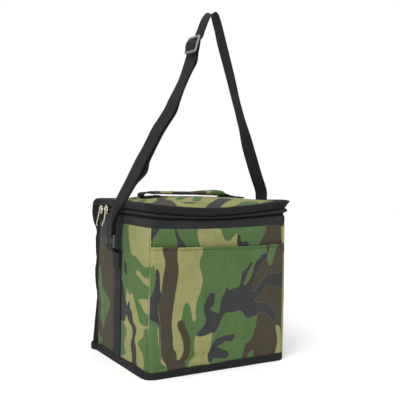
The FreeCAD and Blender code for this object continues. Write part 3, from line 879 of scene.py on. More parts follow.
def makeFrontPocket():
    s = {"step": 2.2, "corner": 5.0, "rows": 90, "hemRows": 12, "hem": 4.4, "hemProud": 0.55,
         "mouthSunk": 0.9, "bottom": 9.0, "thick": 1.1, "roll": 0.8, "behind": 4.5}
    half = pocketHigh[0]
    face = pocketLow[1]
    back = -bag["halfDepth"] + s["behind"]
    # The plan from the left side round both front corners: place and outward direction.
    plan = [(-half, back + (face + s["corner"] - back) * index / 4, Vector((-1, 0, 0)))
            for index in range(4)]
    middle = Vector((-half + s["corner"], face + s["corner"], 0))
    for index in range(7):
        angle = math.pi / 2 * index / 6
        out = Vector((-math.cos(angle), -math.sin(angle), 0))
        plan.append((*(middle + out * s["corner"]).xy, out))
    count = round(2 * (half - s["corner"]) / s["step"])
    for index in range(1, count):
        x = (half - s["corner"]) * (2 * index / count - 1)
        plan.append((x, face, Vector((0, -1, 0))))
    plan += [(-x, y, Vector((-out.x, out.y, 0))) for x, y, out in plan[10::-1]]
    lengths = runningLengths([(x, y) for x, y, out in plan])
    fineReach = s["hem"] * 1.35  # the finer rows reach a little past the hem

    def height(x, row):
        top = pocketTop(x)
        fromTop = s["rows"] - 1 - row
        if fromTop < s["hemRows"]:
            return top - fineReach * fromTop / s["hemRows"]
        below = top - fineReach
        return s["bottom"] + (below - s["bottom"]) * row / (s["rows"] - 1 - s["hemRows"])

    def outsetAt(x, z):
        fromTop = pocketTop(x) - z
        hem = 1 - ease(s["hem"] - 0.9, s["hem"] + 0.3, fromTop) - bell(fromTop, s["hem"], 0.7)
        mouth = s["mouthSunk"] * (1 - ease(0, s["mouthSunk"], fromTop))
        return s["hemProud"] * hem - mouth + pocketBelly(x, z)

    def place(index, row):
        x, y, out = plan[index]
        z = height(x, row)
        return Vector((x, y, z)) + out * outsetAt(x, z)

    bm = bmesh.new()
    addGrid(bm, len(plan), s["rows"], place, lambda c, r: (lengths[c], height(plan[c][0], r)))
    obj = finishMesh("front_pocket_cloth", bm, camoCloth, "bag")
    places = []
    for index in range(len(obj.data.vertices)):
        row, column = divmod(index, len(plan))
        places.append((lengths[column] - lengths[-1] / 2, height(plan[column][0], row)))
    paintCamo(obj, places, ["front"] * len(places), {"front": pocketShapes})
    solidify(obj, s["thick"])
    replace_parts(obj, "front_pocket")
    spots = []
    for x, y, out in plan[4:-4]:
        z = pocketTop(x) - s["hem"]
        spots.append((Vector((x, y, z)) + out * (outsetAt(x, z) + 0.1), out))
    stitchRow("pocket_hem_stitches", spots, "bag", "camo_fabric", 2.6, 3.3, 0.3)
    # The folded cloth shows as a thin roll along the pocket's mouth, printed in the lighter copy of
    # the cloth as a painted highlight.
    columns = [{"x": x, "y": y, "out": out, "length": length}
               for (x, y, out), length in zip(plan, lengths)]

    def rollSection(column):
        z = pocketTop(column["x"]) - 0.7
        middle = outsetAt(column["x"], z - 1.3) - 0.1
        return [(middle + s["roll"] * math.cos(angle * math.pi / 4),
                 z + s["roll"] * math.sin(angle * math.pi / 4)) for angle in range(8)]

    roll = loftSection("pocket_mouth_roll", columns, rollSection, True, camoPipingHighlight, "bag")
    places = []
    for vert in roll.data.vertices:
        nearest = min(columns, key=lambda column: abs(column["x"] - vert.co.x / mm))
        places.append((nearest["length"] - lengths[-1] / 2, pocketTop(nearest["x"]) - 1))
    paintCamo(roll, places, ["front"] * len(places), {"front": pocketShapes})


def makeBaseBinding():
    s = {"top": 11.5}

    def section(column):
        x, y = column["x"], column["y"]
        lift = 1.3 * ripple(x, y, 0, 40, 3.0) + 1.2 * ease(-130, -40, x) * (1 - ease(-100, -60, y))
        loose = 0.7 * ripple(x, y, 5, 30, 6.0)
        top = s["top"] + lift
        outer = wallBelly(x, y, top)
        outer += 13.0 * cornerEar(x, y, -1, 1, 16) + 2.0 * cornerEar(x, y, 1, -1)
        if y < -bag["halfDepth"] + 8 and abs(x) < pocketHigh[0]:
            outer = 6.3 + 0.6 * loose
        return [
            (outer - 1.0, top - 1.0),
            (outer + 0.5, top),
            (outer + 1.4, top - 0.9),
            (max(outer + 1.6, 3.4) + loose * 0.5, top - 4.2),
            (max(outer + 1.7, 5.2) + loose * 0.4, 3.4),
            (max(outer + 1.6, 6.6) + loose * 0.3, 1.2),
            (max(outer + 0.9, 6.0), 0.15),
            (outer, 0.05),
            (-2.0, 0.05),
            (-1.5, 1.0),
            (min(0.2, outer - 1.6), 4.0),
        ]

    columns = wallColumns(3.0)
    obj = loftSection("base_binding_tape", columns, section, True, bindingTape, "bag")
    subdivide(obj)
    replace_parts(obj, "base_binding")
    spots = []
    for column in columns:
        (outA, zA), (outB, zB) = section(column)[2:4]
        spots.append((lifted(column, (outA * 2 + outB) / 3 + 0.1, (zA * 2 + zB) / 3),
                      column["out"]))
    stitchRow("base_binding_stitches", spots, "bag", "binding_tape", **bindingStitch)


# How far the back corners' bound seams stand out at each height: loose waves, then a full fold
# under the lid.
bindingReach = [(10, 10.0), (18, 10.2), (27, 9.5), (37, 8.7), (50, 8.0), (64, 6.6), (75, 5.5),
                (91, 4.4), (100, 5.0), (108, 6.6), (118, 8.0), (128, 9.3), (140, 9.5), (151, 7.8),
                (160, 7.0), (169, 8.2), (186, 8.8), (195, 9.3), (203, 7.6), (208, 7.8), (214, 9.6),
                (221, 12.8), (229, 14.7), (238, 15.8), (252, 15.4), (257, 13.0)]


def makeBackBinding(side):
    s = {"rows": 92, "half": 1.5, "fold": 2.5, "low": cadBox("back_left_binding")[0][2],
         "top": 257, "inset": 3.6, "lean": 1.6}
    corner = Vector((side * (bag["halfWidth"] - s["inset"]), bag["halfDepth"] - s["inset"], 0))
    out = Vector((side, 1, 0)).normalized()
    across = Vector((-out.y, out.x, 0))
    outline = [(-0.6, -1), (0.55, -1.05), (0.93, -0.85), (1.05, 0), (0.93, 0.85), (0.55, 1.05),
               (-0.6, 1)]

    def place(index, row):
        z = s["low"] + (s["top"] - s["low"]) * row / (s["rows"] - 1)
        reach, thick = outline[index % len(outline)]
        lean = s["lean"] * ripple(side * 5, 1, z, 26, 1.7)
        half = s["half"] + s["fold"] * ease(206, 232, z)
        spot = corner + out * (reach * along(bindingReach, z)) + across * (thick * half)
        return spot + across * lean * max(reach, 0) + Vector((0, 0, z))

    bm = bmesh.new()
    addGrid(bm, len(outline) + 1, s["rows"], place, lambda c, r: (r * 2.9, c * 2.4))
    closeShell(bm)
    obj = finishMesh("back_corner_binding_" + sideName(side), bm, bindingTape, "bag")
    subdivide(obj)
    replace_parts(obj, "back_" + sideName(side) + "_binding")
    spots = [(place(1, row).lerp(place(2, row), 0.2) - across * 0.05, -across)
             for row in range(s["rows"])]
    stitchRow(obj.name + "_stitches", spots, "bag", "binding_tape")


def makeZip():
    s = {"thick": 0.9, "toothPitch": 2.0, "tooth": (0.55, 0.9, 1.15), "fromLine": 0.75,
         "sunk": 0.7, "coilEar": 5.0, "lowerEar": 7.0, "earSize": 9, "waves": 0.5}
    columns = [column for column in wallColumns() if column["y"] <= bag["zipEnd"]]
    top = bag["wallTop"]
    line = bag["zipLine"]
    lowerProfile = [(top - 3, -1.4), (top - 0.6, -0.9), (top + 0.8, -0.1), (top + 4, 0.2),
                    (top + 9, 0.1), (top + 12.4, -0.1), (line - 1.9, -0.6), (line - 1.2, -2.2),
                    (line + 4, -2.6)]
    upperProfile = [(line + 1.9, -0.4), (line + 2.5, 1.4), (line + 3.8, 3.0), (line + 5.6, 3.3),
                    (line + 7.0, 2.2), (line + 7.9, -0.4), (line + 10, -1.2), (line + 12.4, -1.4)]
    upperEar = [(line + 1.9, 5.0), (line + 4, 9.5), (line + 6, 9.5), (line + 12, 8.0)]

    # The zip stands out at the front's right corner.
    def ear(column):
        return cornerEar(column["x"], column["y"], 1, -1, s["earSize"])

    def lowerSection(column):
        x, y = column["x"], column["y"]
        made = []
        for z, outset in lowerProfile:
            soft = s["waves"] * ripple(x, y, z, 40, 2.0)
            soft += s["lowerEar"] * ear(column) * ease(top - 5, top - 1, z)
            made.append((outset + soft + wallBelly(x, y, z) * 0.5, z + seamRise(x, y, z)))
        return made

    def upperSection(column):
        x, y = column["x"], column["y"]
        made = []
        for z, outset in upperProfile:
            soft = s["waves"] * ripple(x, y, 0, 34, 7.0) + along(upperEar, z) * ear(column)
            made.append((outset + soft, z + seamRise(x, y, z)))
        return made

    for name, section, body in (("lower", lowerSection, "bag"), ("upper", upperSection, "lid")):
        obj = loftSection("zip_tape_" + name + "_cloth", columns, section, False, zipTape, body)
        solidify(obj, s["thick"])
        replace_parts(obj, "zip_tape_" + name)

    # Each half of the coil: a row of teeth that reach the middle line, set between each other.
    middles = [(lifted(column, s["coilEar"] * ear(column) - s["sunk"], line), column)
               for column in columns]
    for sign, body, node, first in ((-1, "bag", "zip_coil_lower", 0.6),
                                    (1, "lid", "zip_coil_upper", 1.6)):
        bm = bmesh.new()
        for spot, ahead, column in pacedAlong(middles, first, s["toothPitch"]):
            rise = seamRise(column["x"], column["y"], line)
            spot.z = line + sign * s["fromLine"] + rise
            addBead(bm, spot, (ahead, column["out"], Vector((0, 0, 1))), s["tooth"])
        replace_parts(finishMesh(node + "_teeth", bm, coilNylon, body), node)


def makeLidBinding():
    top = bag["lidTop"]
    columns = wallColumns()
    # Outset and height above the CAD lid, from under its edge up, over and back inside the fold.
    profile = [(1.6, -11.2), (4.2, -11.8), (5.8, -10.4), (6.0, -7.4), (5.6, -5.0), (5.9, -1.8),
               (3.9, 0.4), (1.2, 0.9), (-1.4, 0.8), (-3.6, 0.1), (-3.4, -0.9), (-0.6, -1.2),
               (2.2, -1.6), (3.6, -3.6), (3.8, -6.5), (3.0, -9.4), (1.6, -10.2)]

    def section(column):
        x, y = column["x"], column["y"]
        rise = lidRise(x, y)
        push = 0.6 * ripple(x, y, 0, 38, 5.5)
        push += 3.0 * cornerEar(x, y, 1, -1) + 0.8 * cornerEar(x, y, -1, -1)
        push += 9.5 * cornerEar(x, y, -1, 1)
        tip = 12.0 * cornerEar(x, y, 1, -1, 7)
        rounded = 6.0 * cornerEar(x, y, -1, 1, 10)
        tuck = 4.5 * cornerEar(x, y, 1, -1, 24)
        made = []
        for outset, z in profile:
            shaped = push + tip * ease(-9, 0, z) - rounded * ease(-6, 1, z)
            inward = tuck * ease(-1, -3, outset)
            made.append((outset + shaped * ease(-2, 3, outset) - inward, top + z + rise))
        return made

    obj = loftSection("lid_binding_roll", columns, section, True, bindingTape, "lid")
    subdivide(obj)
    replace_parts(obj, "lid_binding")
    above = Vector((0, 0, 1))
    onTop = []
    onSide = []
    for column in columns:
        points = section(column)
        onTop.append((lifted(column, points[9][0] + 1.1, points[9][1]) + above * 0.35, above))
        onSide.append((lifted(column, *points[3]) + column["out"] * 0.1, column["out"]))
    for name, spots in (("", onTop), ("_side", onSide)):
        stitchRow("lid_binding" + name + "_stitches", spots, "lid", "binding_tape",
                  **bindingStitch)


lidShapes = [
    ("green", [(-98, -30), (-100, -14), (-88, 4), (-70, 12), (-52, -2), (-62, -18), (-80, -24)]),
    ("green", [(-122, -52), (-118, -38), (-106, -30), (-98, -36), (-106, -46), (-114, -56)]),
    ("green", [(-56, -52), (-44, -34), (-30, -20), (-12, -4), (-2, -4), (-18, -26), (-34, -42),
               (-48, -58)]),
    ("green", [(-32, -66), (-20, -46), (-6, -26), (14, 0), (26, -4), (10, -26), (-4, -46),
               (-20, -66)]),
    ("green", [(30, -97), (42, -88), (60, -77), (78, -75), (84, -86), (72, -96), (52, -100)]),
    ("green", [(86, -92), (98, -82), (112, -76), (122, -84), (118, -100), (100, -106)]),
    ("green", [(-20, 34), (14, 40), (24, 70), (-6, 92), (-48, 84), (-56, 56)]),
    ("brown", [(-108, -80), (-104, -66), (-88, -50), (-74, -24), (-54, -20), (-62, -36), (-72, -44),
               (-68, -58), (-70, -74), (-76, -94), (-84, -104), (-104, -98)]),
    ("brown", [(-60, -76), (-44, -72), (-30, -76), (-44, -81)]),
    ("brown", [(-104, 22), (-98, 36), (-84, 42), (-82, 28), (-96, 14)]),
    ("brown", [(60, 30), (92, 14), (120, 24), (128, 64), (104, 88), (76, 78), (54, 56)]),
    ("black", [(-30, -102), (-16, -86), (4, -70), (20, -54), (34, -42), (46, -40), (54, -52),
               (38, -66), (18, -82), (2, -96), (-6, -104)]),
    ("black", [(-128, 58), (-104, 50), (-90, 64), (-96, 84), (-112, 104), (-132, 100)]),
    ("black", [(20, 84), (44, 74), (60, 88), (48, 116), (16, 116)]),
]


# The padded lid swells above its binding, most of all round the handle's left foot.
def lidDome(x, y):
    s = {"high": 9.8, "halfX": 123, "halfY": 101, "waves": 0.4, "swell": 1.5, "dip": 2.4}
    across = 1 - min(1, abs(x) / s["halfX"]) ** 3.2
    deep = 1 - min(1, abs(y) / s["halfY"]) ** 2.2
    foot = s["swell"] * bell(x, -62, 24) * bell(y, 26, 24)
    foot -= s["dip"] * bell(x, -76, 17) * bell(y, -2, 15)
    return s["high"] * across * deep + foot + s["waves"] * ripple(x, y, 0, 48, 6.6) * across


# How much of the lid edge's rise is left at a share of the way from the middle to the edge.
def riseLeft(share):
    return 0.25 + 0.75 * share ** 3


# The x and y at a share of the way from the middle to a column's edge.
def inwards(column, outset, share):
    edge = lifted(column, outset, 0)
    return edge.x * share, edge.y * share


def lidSurface(x, y):
    s = {"edge": 3.6, "sunk": 0.5}
    share = min(1, max(abs(x) / (bag["halfWidth"] - s["edge"]),
                       abs(y) / (bag["halfDepth"] - s["edge"])))
    return bag["lidTop"] - s["sunk"] + lidRise(x, y) * riseLeft(share) + lidDome(x, y)


def makeLidTop():
    s = {"rings": 46, "underRings": 8, "edge": 3.6, "hole": 0.012, "sewn": 1.1,
         "aboveTape": 0.9, "bulge": 1.004, "underRise": 0.8}
    columns = wallColumns(3.6, 6)
    under = upperTapeHigh[2] + s["aboveTape"]
    reach = 1 - s["hole"]
    levels = [(s["hole"] + reach * row / (s["rings"] - 1), "top") for row in range(s["rings"])]
    levels += [(1.0, "mid"), (1.0, "under")]
    levels += [(1.0 - reach * (row + 1) / s["underRings"], "under")
               for row in range(s["underRings"])]

    def place(index, row):
        share, layer = levels[row]
        x, y = inwards(columns[index], s["edge"], share)
        rise = lidRise(x, y) * riseLeft(share)
        if layer == "top":
            return Vector((x, y, lidSurface(x, y) - s["sewn"] * ease(0.985, 1.0, share)))
        if layer == "mid":
            middle = (bag["lidTop"] + under) / 2
            return Vector((x * s["bulge"], y * s["bulge"], middle + rise))
        return Vector((x, y, under + rise * s["underRise"]))

    bm = bmesh.new()
    addGrid(bm, len(columns), len(levels), place, lambda c, r: place(c, r).xy)
    closeShell(bm)
    obj = finishMesh("lid_top_padded", bm, camoCloth, "lid")
    places = [(vert.co.x / mm, vert.co.y / mm) for vert in obj.data.vertices]
    paintCamo(obj, places, ["lid"] * len(places), {"lid": lidShapes})
    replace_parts(obj, "lid_top_panel", "lid_foam")


def makeStage():
    s = {"size": 4.0, "skyLight": 0.58}
    floor, n, shader = newMaterial("floor_white")
    speckle = n.noise(n.objectPlace(), 3, 2)
    n.fill(shader, {"Base Color": n.mix(speckle, colour(246, 246, 246), colour(250, 250, 250)),
                    "Roughness": 0.9, "Emission Color": (1, 1, 1, 1), "Emission Strength": 0.1})
    bm = bmesh.new()
    bmesh.ops.create_grid(bm, x_segments=2, y_segments=2, size=s["size"] / mm)
    finishMesh("floor", bm, floor, None)

    # The sky is white where the camera sees it and dimmer where it only lights the bag.
    world = bpy.data.worlds.new("studio")
    bpy.context.scene.world = world
    world.use_nodes = True
    world.node_tree.nodes.clear()
    n = Nodes(world.node_tree)
    path = n.add("ShaderNodeLightPath").outputs
    seen = n.math("MAXIMUM", path["Is Camera Ray"], path["Is Glossy Ray"])
    seen = n.math("MAXIMUM", seen, path["Is Transmission Ray"])
    strength = n.math("MULTIPLY_ADD", seen, 1 - s["skyLight"], s["skyLight"])
    background = n.add("ShaderNodeBackground", {"Color": (1, 1, 1, 1), "Strength": strength})
    n.add("ShaderNodeOutputWorld", {0: background.outputs[0]})


# A wide soft lamp far away in direction `towards`.
def makeLights():
    s = {"towards": (-0.50, -0.42, 0.76), "power": 2.3, "spread": 48}
    light = bpy.data.lights.new("key", "SUN")
    light.energy = s["power"]
    light.angle = math.radians(s["spread"])
    obj = bpy.data.objects.new("key", light)
    bpy.context.collection.objects.link(obj)
    obj.rotation_euler = (-Vector(s["towards"])).to_track_quat("-Z", "Y").to_euler()


def makeCamera():
    s = {"place": (-0.54697, -0.94445, 0.30020), "azimuth": 31.026, "elevation": 1.8315,
         "roll": 1.3104, "lens": 57.24}
    azimuth = math.radians(s["azimuth"])
    elevation = math.radians(s["elevation"])
    roll = math.radians(s["roll"])
    ahead = Vector((math.sin(azimuth) * math.cos(elevation),
                    math.cos(azimuth) * math.cos(elevation),
                    -math.sin(elevation)))
    level = Vector((math.cos(azimuth), -math.sin(azimuth), 0))
    right = level * math.cos(roll) + level.cross(ahead) * math.sin(roll)
    data = bpy.data.cameras.new("camera")
    data.sensor_width = 36
    data.lens = s["lens"]
    camera = bpy.data.objects.new("camera", data)
    bpy.context.collection.objects.link(camera)
    turn = Matrix((right, right.cross(ahead), -ahead)).transposed().to_4x4()
    camera.matrix_world = Matrix.Translation(s["place"]) @ turn
    bpy.context.scene.camera = camera


# The handle is soft; this only bakes a piece's placement into its mesh.
def bendOnLid(obj):
    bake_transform(obj)


gripShapes = [
    ("brown", [(-84, -30), (-66, -30), (-64, 0), (-68, 30), (-84, 30)]),
    ("black", [(-36, -30), (-10, -30), (-2, 0), (-12, 30), (-32, 30), (-42, 0)]),
    ("brown", [(-8, -32), (20, -32), (26, 0), (16, 30), (-6, 30), (2, 0)]),
    ("green", [(34, -34), (80, -34), (80, 34), (28, 34), (24, 10), (38, 0)]),
]


def makeHandle():
    s = {"width": 24.0, "thick": 2.0, "gripLow": -77.0, "gripHigh": 65.0, "count": 60,
         "around": 28, "gripWide": 13.6, "gripHalf": 2.5, "pucker": 0.14, "wrinkle": 0.35,
         "tabWidth": 25.0, "tabThick": 1.6, "tabLift": 0.7}
    lid = bag["lidTop"]
    across = Vector((0, 1, 0))
    # Each point's x and height above the lid: one foot, the arch and the other foot.
    route = [(x, lidSurface(x, 0) - lid + 2.4) for x in (-62, -72, -82)]
    route += [(-89, 7.8), (-92.6, 10.0), (-91.6, 13.2), (-87, 15.1), (-78, 15.5), (-56, 15.7),
              (-30, 15.4), (0, 15.4), (30, 16.2), (52, 16.4), (65, 15.2), (76, 12.2), (87, 9.4),
              (97, 7.6)]
    route += [(x, lidSurface(x, 0) - lid + 1.8) for x in (106, 102, 92, 80, 66)]
    route = [(x, lid + height) for x, height in route]
    spots = [(Vector((x, 0, z)), across) for x, z in smoothLine(route, 6)]
    obj = webbingStrip("handle_webbing_strap", spots, s["width"], s["thick"], None)
    bendOnLid(obj)
    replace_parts(obj, "handle_webbing")

    line = [(x, z) for x, z in smoothLine(route, 10) if z > lid + 14.6]

    def centreAt(x):
        for (x0, z0), (x1, z1) in zip(line, line[1:]):
            if x0 <= x <= x1:
                return z0 + (z1 - z0) * (x - x0) / (x1 - x0)
        return line[0][1]

    def place(index, row):
        share = index / (s["count"] - 1)
        x = s["gripLow"] + (s["gripHigh"] - s["gripLow"]) * share
        angle = 2 * math.pi * row / s["around"]
        pucker = 1 - s["pucker"] * (bell(share, 0, 0.03) + bell(share, 1, 0.03))
        swell = 1 + 0.1 * math.sin(math.pi * share) + 0.07 * ripple(x, 0, 0, 15, 3.0)
        high = s["gripHalf"] * pucker * swell * (1 + 0.9 * ease(0.5, 0.92, share))
        y = math.copysign(abs(math.cos(angle)) ** 0.75, math.cos(angle)) * s["gripWide"] * pucker
        rise = math.copysign(abs(math.sin(angle)) ** 0.8, math.sin(angle)) * high
        wrinkle = s["wrinkle"] * ripple(x * 1.5, y, rise, 9, 1.0)
        return Vector((x, y + 0.4 * wrinkle, centreAt(x) + rise + wrinkle))

    bm = bmesh.new()
    addGrid(bm, s["count"], s["around"] + 1, place, lambda c, r: (c * 2.4, r * 1.2))
    bmesh.ops.remove_doubles(bm, verts=bm.verts, dist=weldGap)
    ends = [edge for edge in bm.edges if edge.is_boundary]
    caps = bmesh.ops.holes_fill(bm, edges=ends, sides=0)["faces"]
    bmesh.ops.inset_individual(bm, faces=caps, thickness=1.1, depth=-0.5)
    bmesh.ops.recalc_face_normals(bm, faces=bm.faces)
    grip = finishMesh("handle_grip_wrap", bm, camoCloth, None)
    places = [(vert.co.x / mm, vert.co.y / mm + (vert.co.z / mm - lid - 18) * 1.5)
              for vert in grip.data.vertices]
    paintCamo(grip, places, ["grip"] * len(places), {"grip": gripShapes})
    subdivide(grip)
    bendOnLid(grip)
    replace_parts(grip, "handle_grip")
    down = Vector((0, -0.2, -1)).normalized()
    underRow = 20  # a row on the grip's underside, a little to the front
    spots = [(place(index, underRow) + Vector((0, 0, -0.1)), down)
             for index in range(1, s["count"] - 1)]
    bendOnLid(stitchRow("handle_grip_stitches", spots, None, "camo_fabric", 2.4, 3.4, 0.26))

    # Sewn ends on the lid, each with a boxed cross of stitches.
    low, high = cadBox("handle_tab_left")
    for side in (-1, 1):
        inner, outer = sorted((side * low[0], side * high[0]), key=abs)
        spots = []
        for index in range(13):
            x = inner + (outer - inner) * index / 12
            spots.append((Vector((x, 0, lidSurface(x, 0) + s["tabLift"])), across))
        name = "handle_tab_" + sideName(side)
        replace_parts(webbingStrip(name + "_webbing", spots, s["tabWidth"], s["tabThick"], "lid"),
                    name)
        addBoxStitch(name + "_stitches", spots, 21.0, 2.6, "lid")


# A rectangle of stitches with both diagonals, over a strip that starts and ends at given spots.
def addBoxStitch(name, spots, width, above, body):
    first, last = spots[1][0], spots[-2][0]
    side = spots[0][1].normalized()
    out = side.cross((last - first).normalized()).normalized()
    if out.z < -0.5 or (abs(out.z) < 0.5 and out.x * first.x < 0):
        out = -out
    half = side * (width / 2)
    corners = [first - half, first + half, last + half, last - half]
    order = [0, 1, 2, 3, 0, 2, 3, 1]
    route = []
    for start, end in zip(order, order[1:]):
        run = corners[end] - corners[start]
        route += [(corners[start] + run * (step / 12) + out * above, out) for step in range(12)]
    return stitchRow(name, route, body, "webbing", 2.2, 3.0, 0.3)


ringLow, ringHigh = cadBox("strap_ring_left")
# The straps swing at the rings; a ring's bar is 4 mm thick and the webbing round it 2.9 mm out.
swing = {
    "y": (anchorLow[1] + anchorHigh[1]) / 2,
    "bar": ringHigh[2] - 2.0,
    "lowBar": ringLow[2] + 2.0,
    "ringX": (ringLow[0] + ringHigh[0]) / 2,
    "lean": math.radians(9),
    "width": 24.2,
    "loop": 2.9,
}


# A place in the strap's leaning plane: x, the way up from the ring's upper bar, and across it.
def strapPlace(x, up, across=0.0):
    lean = swing["lean"]
    return Vector((
        x,
        swing["y"] - up * math.sin(lean) + across * math.cos(lean),
        swing["bar"] + up * math.cos(lean) + across * math.sin(lean),
    ))


strapAcross = (strapPlace(0, 0, 1) - strapPlace(0, 0, 0)).normalized()


# Turns (x, up, shift across, twist in degrees) points into webbing spots.
def strapSpots(route, steps=8):
    fine = smoothLine(route, steps)
    middles = [strapPlace(x, up, shift) for x, up, shift, twist in fine]
    spots = []
    for index, middle in enumerate(middles):
        ahead = middles[min(index + 1, len(middles) - 1)] - middles[max(index - 1, 0)]
        turn = Matrix.Rotation(math.radians(fine[index][3]), 3, ahead.normalized())
        spots.append((middle, turn @ strapAcross))
    return spots


# Webbing passes the lid's edge; this only bakes a piece's placement into its mesh, and the ring and
# its tab stay hanging at the side.
def bendOverEdge(obj):
    s = {"low": 45, "high": 165}  # ways up from the ring's upper bar
    strapPlace(0, s["low"]) * mm
    strapPlace(0, s["high"]) * mm
    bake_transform(obj)


def makeShoulderStrap():
    s = {"thick": 1.7, "innerThick": 1.6, "sewnThick": 1.5, "dip": 3.4, "dipReach": 9,
         "above": 362, "under": 300, "foot": 168}
    width = swing["width"]
    inside = width - 0.6
    ring = swing["ringX"]
    loop = swing["loop"]
    # From the right ring's bar up over the top, down through the adjuster and round the left bar.
    main = [
        (-ring - 2.9, 0.0, 0, 0), (-ring - 3.0, 8, 0, 0), (147.2, 24, 0, 3), (151.4, 44, 0, 10),
        (151.0, 62, 0, 20), (148.0, 77, 0, 27), (138.0, 96, 0, 28), (129.0, 113, 0, 28),
        (120.0, 131, 0, 28), (111.0, 149, 0, 26), (103.4, 166, 0, 20), (95.5, 184, 0, 10),
        (87.0, 201, 0, 4), (79.4, 217.5, 0, 1), (71.5, 234, 0, 1), (57.3, 267, 0, 4),
        (42.8, 299, 0, 6), (31.3, 324, 0, 7), (22.6, 345, 0, 4), (17.4, 356, 0, 4),
        (13.8, 363.5, 0, 2), (11.4, 368.2, 0, 0), (8.4, 371.2, 0, 0), (5.0, 371.8, 0, 0),
        (2.0, 370.4, 0, 0), (-0.8, 367.6, 0, 0), (-3.6, 363.4, 0, -1), (-7.0, 355.6, 0, -2),
        (-11.6, 341, 0, -2), (-15.2, 330, 0, -4), (-20.6, 325, 0, -6), (-27.6, 319.6, 0, -6),
        (-29.4, 313, 0, -6), (-28.2, 306, 0, -8), (-25.4, 300.4, 0, -12), (-25.4, 295, 0, -13),
        (-31.0, 274, 0, -9), (-36.6, 258, 0, -4), (-43.0, 241, 0, -8), (-49.6, 224, 0, -14),
        (-56.2, 207, 0, -17), (-65.9, 190, 0, -17), (-75.4, 174, 0, -17), (-82.8, 157, 0, -17),
        (-90.6, 140, 0, -16), (-99.4, 124, -1, -16), (-107.3, 107, -2, -16),
        (-115.9, 90, -4, -15), (-125.2, 74, -7, -13), (-132.6, 60, -8, -10),
        (-139.4, 44, -6, -6), (-143.4, 30, -3, -3), (-144.8, 20, -1, -1),
        (ring - 3.2, 8, 0, 0), (ring - 2.9, 0.0, 0, 0),
    ]
    left = [(ring - loop * math.cos(math.pi * index / 6), -loop * math.sin(math.pi * index / 6),
             0, 0) for index in range(7)]
    right = [(-x, up, shift, twist) for x, up, shift, twist in reversed(left)]
    spots = strapSpots(right[:-1] + main + left[1:])
    top = max(range(len(spots)), key=lambda index: spots[index][0].z)

    def leftLegAt(up):
        return next(index for index in range(top, len(spots))
                    if spots[index][0].z < strapPlace(0, up).z)

    # The left leg is parted above, at and below the adjuster.
    above, under, foot = leftLegAt(s["above"]), leftLegAt(s["under"]), leftLegAt(s["foot"])
    carried = (spots[foot][0] * mm, spots[under][0] * mm)
    for name, start, end in (("webbing", 0, above), ("above_adjuster", above, under),
                             ("below_adjuster", under, foot), ("left_end", foot, len(spots) - 1)):
        obj = webbingStrip("shoulder_strap_" + name, spots[start:end + 1], width, s["thick"], None)
        if name == "webbing":
            # Folded over at the top, the webbing dips between its edges.
            crest = strapPlace(4, 372)
            for vert in obj.data.vertices:
                spot = vert.co / mm
                aside = min(1.0, abs(spot.y - crest.y) / (width / 2))
                near = ease(crest.z - s["dipReach"], crest.z, spot.z)
                vert.co.z -= s["dip"] * (1 - aside ** 2) * near * mm
            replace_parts(obj, "shoulder_strap")
        if name == "above_adjuster":
            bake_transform(obj)
        elif name == "below_adjuster":
            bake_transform(obj)
        else:
            bendOverEdge(obj)

    # The inner layer: it comes back up from the ring to the adjuster's middle bar, a little slack.
    inner = [
        (ring + 3.0, 0.4, 0, 0), (-138.4, 10, 0, 0), (-139.9, 22, -1, 2), (-138.9, 36, -4, 4),
        (-135.6, 50, -7, 7), (-130.0, 60, -8, 10), (-122.4, 74, -7, 14), (-112.0, 90, -4, 17),
        (-96.4, 107, -2, 20), (-92.6, 124, -1, 18), (-85.6, 140, 0, 18), (-78.6, 157, 0, 19),
        (-70.4, 174, 0, 19), (-61.3, 190, 0, 19), (-51.4, 207, 0, 18), (-46.4, 224, 0, 14),
        (-40.8, 241, 0, 9), (-34.4, 258, 0, 6), (-28.4, 274, 0, 9), (-22.4, 288, 0, 12),
        (-21.2, 298, 0, 11), (-20.4, 305, 0, 7), (-19.2, 311, 0, 4), (-18.2, 318, 0, 2),
        (-17.6, 324, 0, 0), (-16.4, 329, 0, 0),
    ]
    spots = strapSpots(inner)
    parting = next(i for i, spot in enumerate(spots) if spot[0].z > carried[0].z / mm)
    bendOverEdge(webbingStrip("shoulder_strap_return_low", spots[:parting + 1], inside,
                              s["innerThick"], None))
    upper = webbingStrip("shoulder_strap_return", spots[parting:], inside, s["innerThick"], None)
    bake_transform(upper)

    # The right end is folded back on itself and sewn.
    back = [(-ring - 2.9, 0.0, 0, 0), (-ring - 2.8, 8, 0, 0), (144.9, 22, 0, 2), (148.4, 42, 0, 8)]
    back = [(x - 1.8, up, shift, twist) for x, up, shift, twist in back]
    bendOverEdge(webbingStrip("shoulder_strap_sewn_end", strapSpots(back), inside,
                              s["sewnThick"], None))
    sewn = strapSpots([(145.6, 17, 0, 2), (149.4, 38, 0, 7)], 4)
    bendOverEdge(addBoxStitch("strap_end_stitches", sewn, width - 5, 1.0, None))


# Sets a mesh that was made round the frame's middle at its own place, turned.
def setPlace(obj, middle, turn):
    for vert in obj.data.vertices:
        vert.co = (middle + turn @ (vert.co / mm)) * mm


# A rounded oblong frame of moulded bar.
def barFrame(name, s, material, body):
    def section(column):
        angles = [2 * math.pi * step / s["sides"] for step in range(s["sides"])]
        return [(-s["bar"] * (1 + math.cos(angle)), s["deep"] * math.sin(angle))
                for angle in angles]

    columns = planColumns(*s["half"], s["corner"], 3.0, 6)
    return loftSection(name, columns, section, True, material, body)


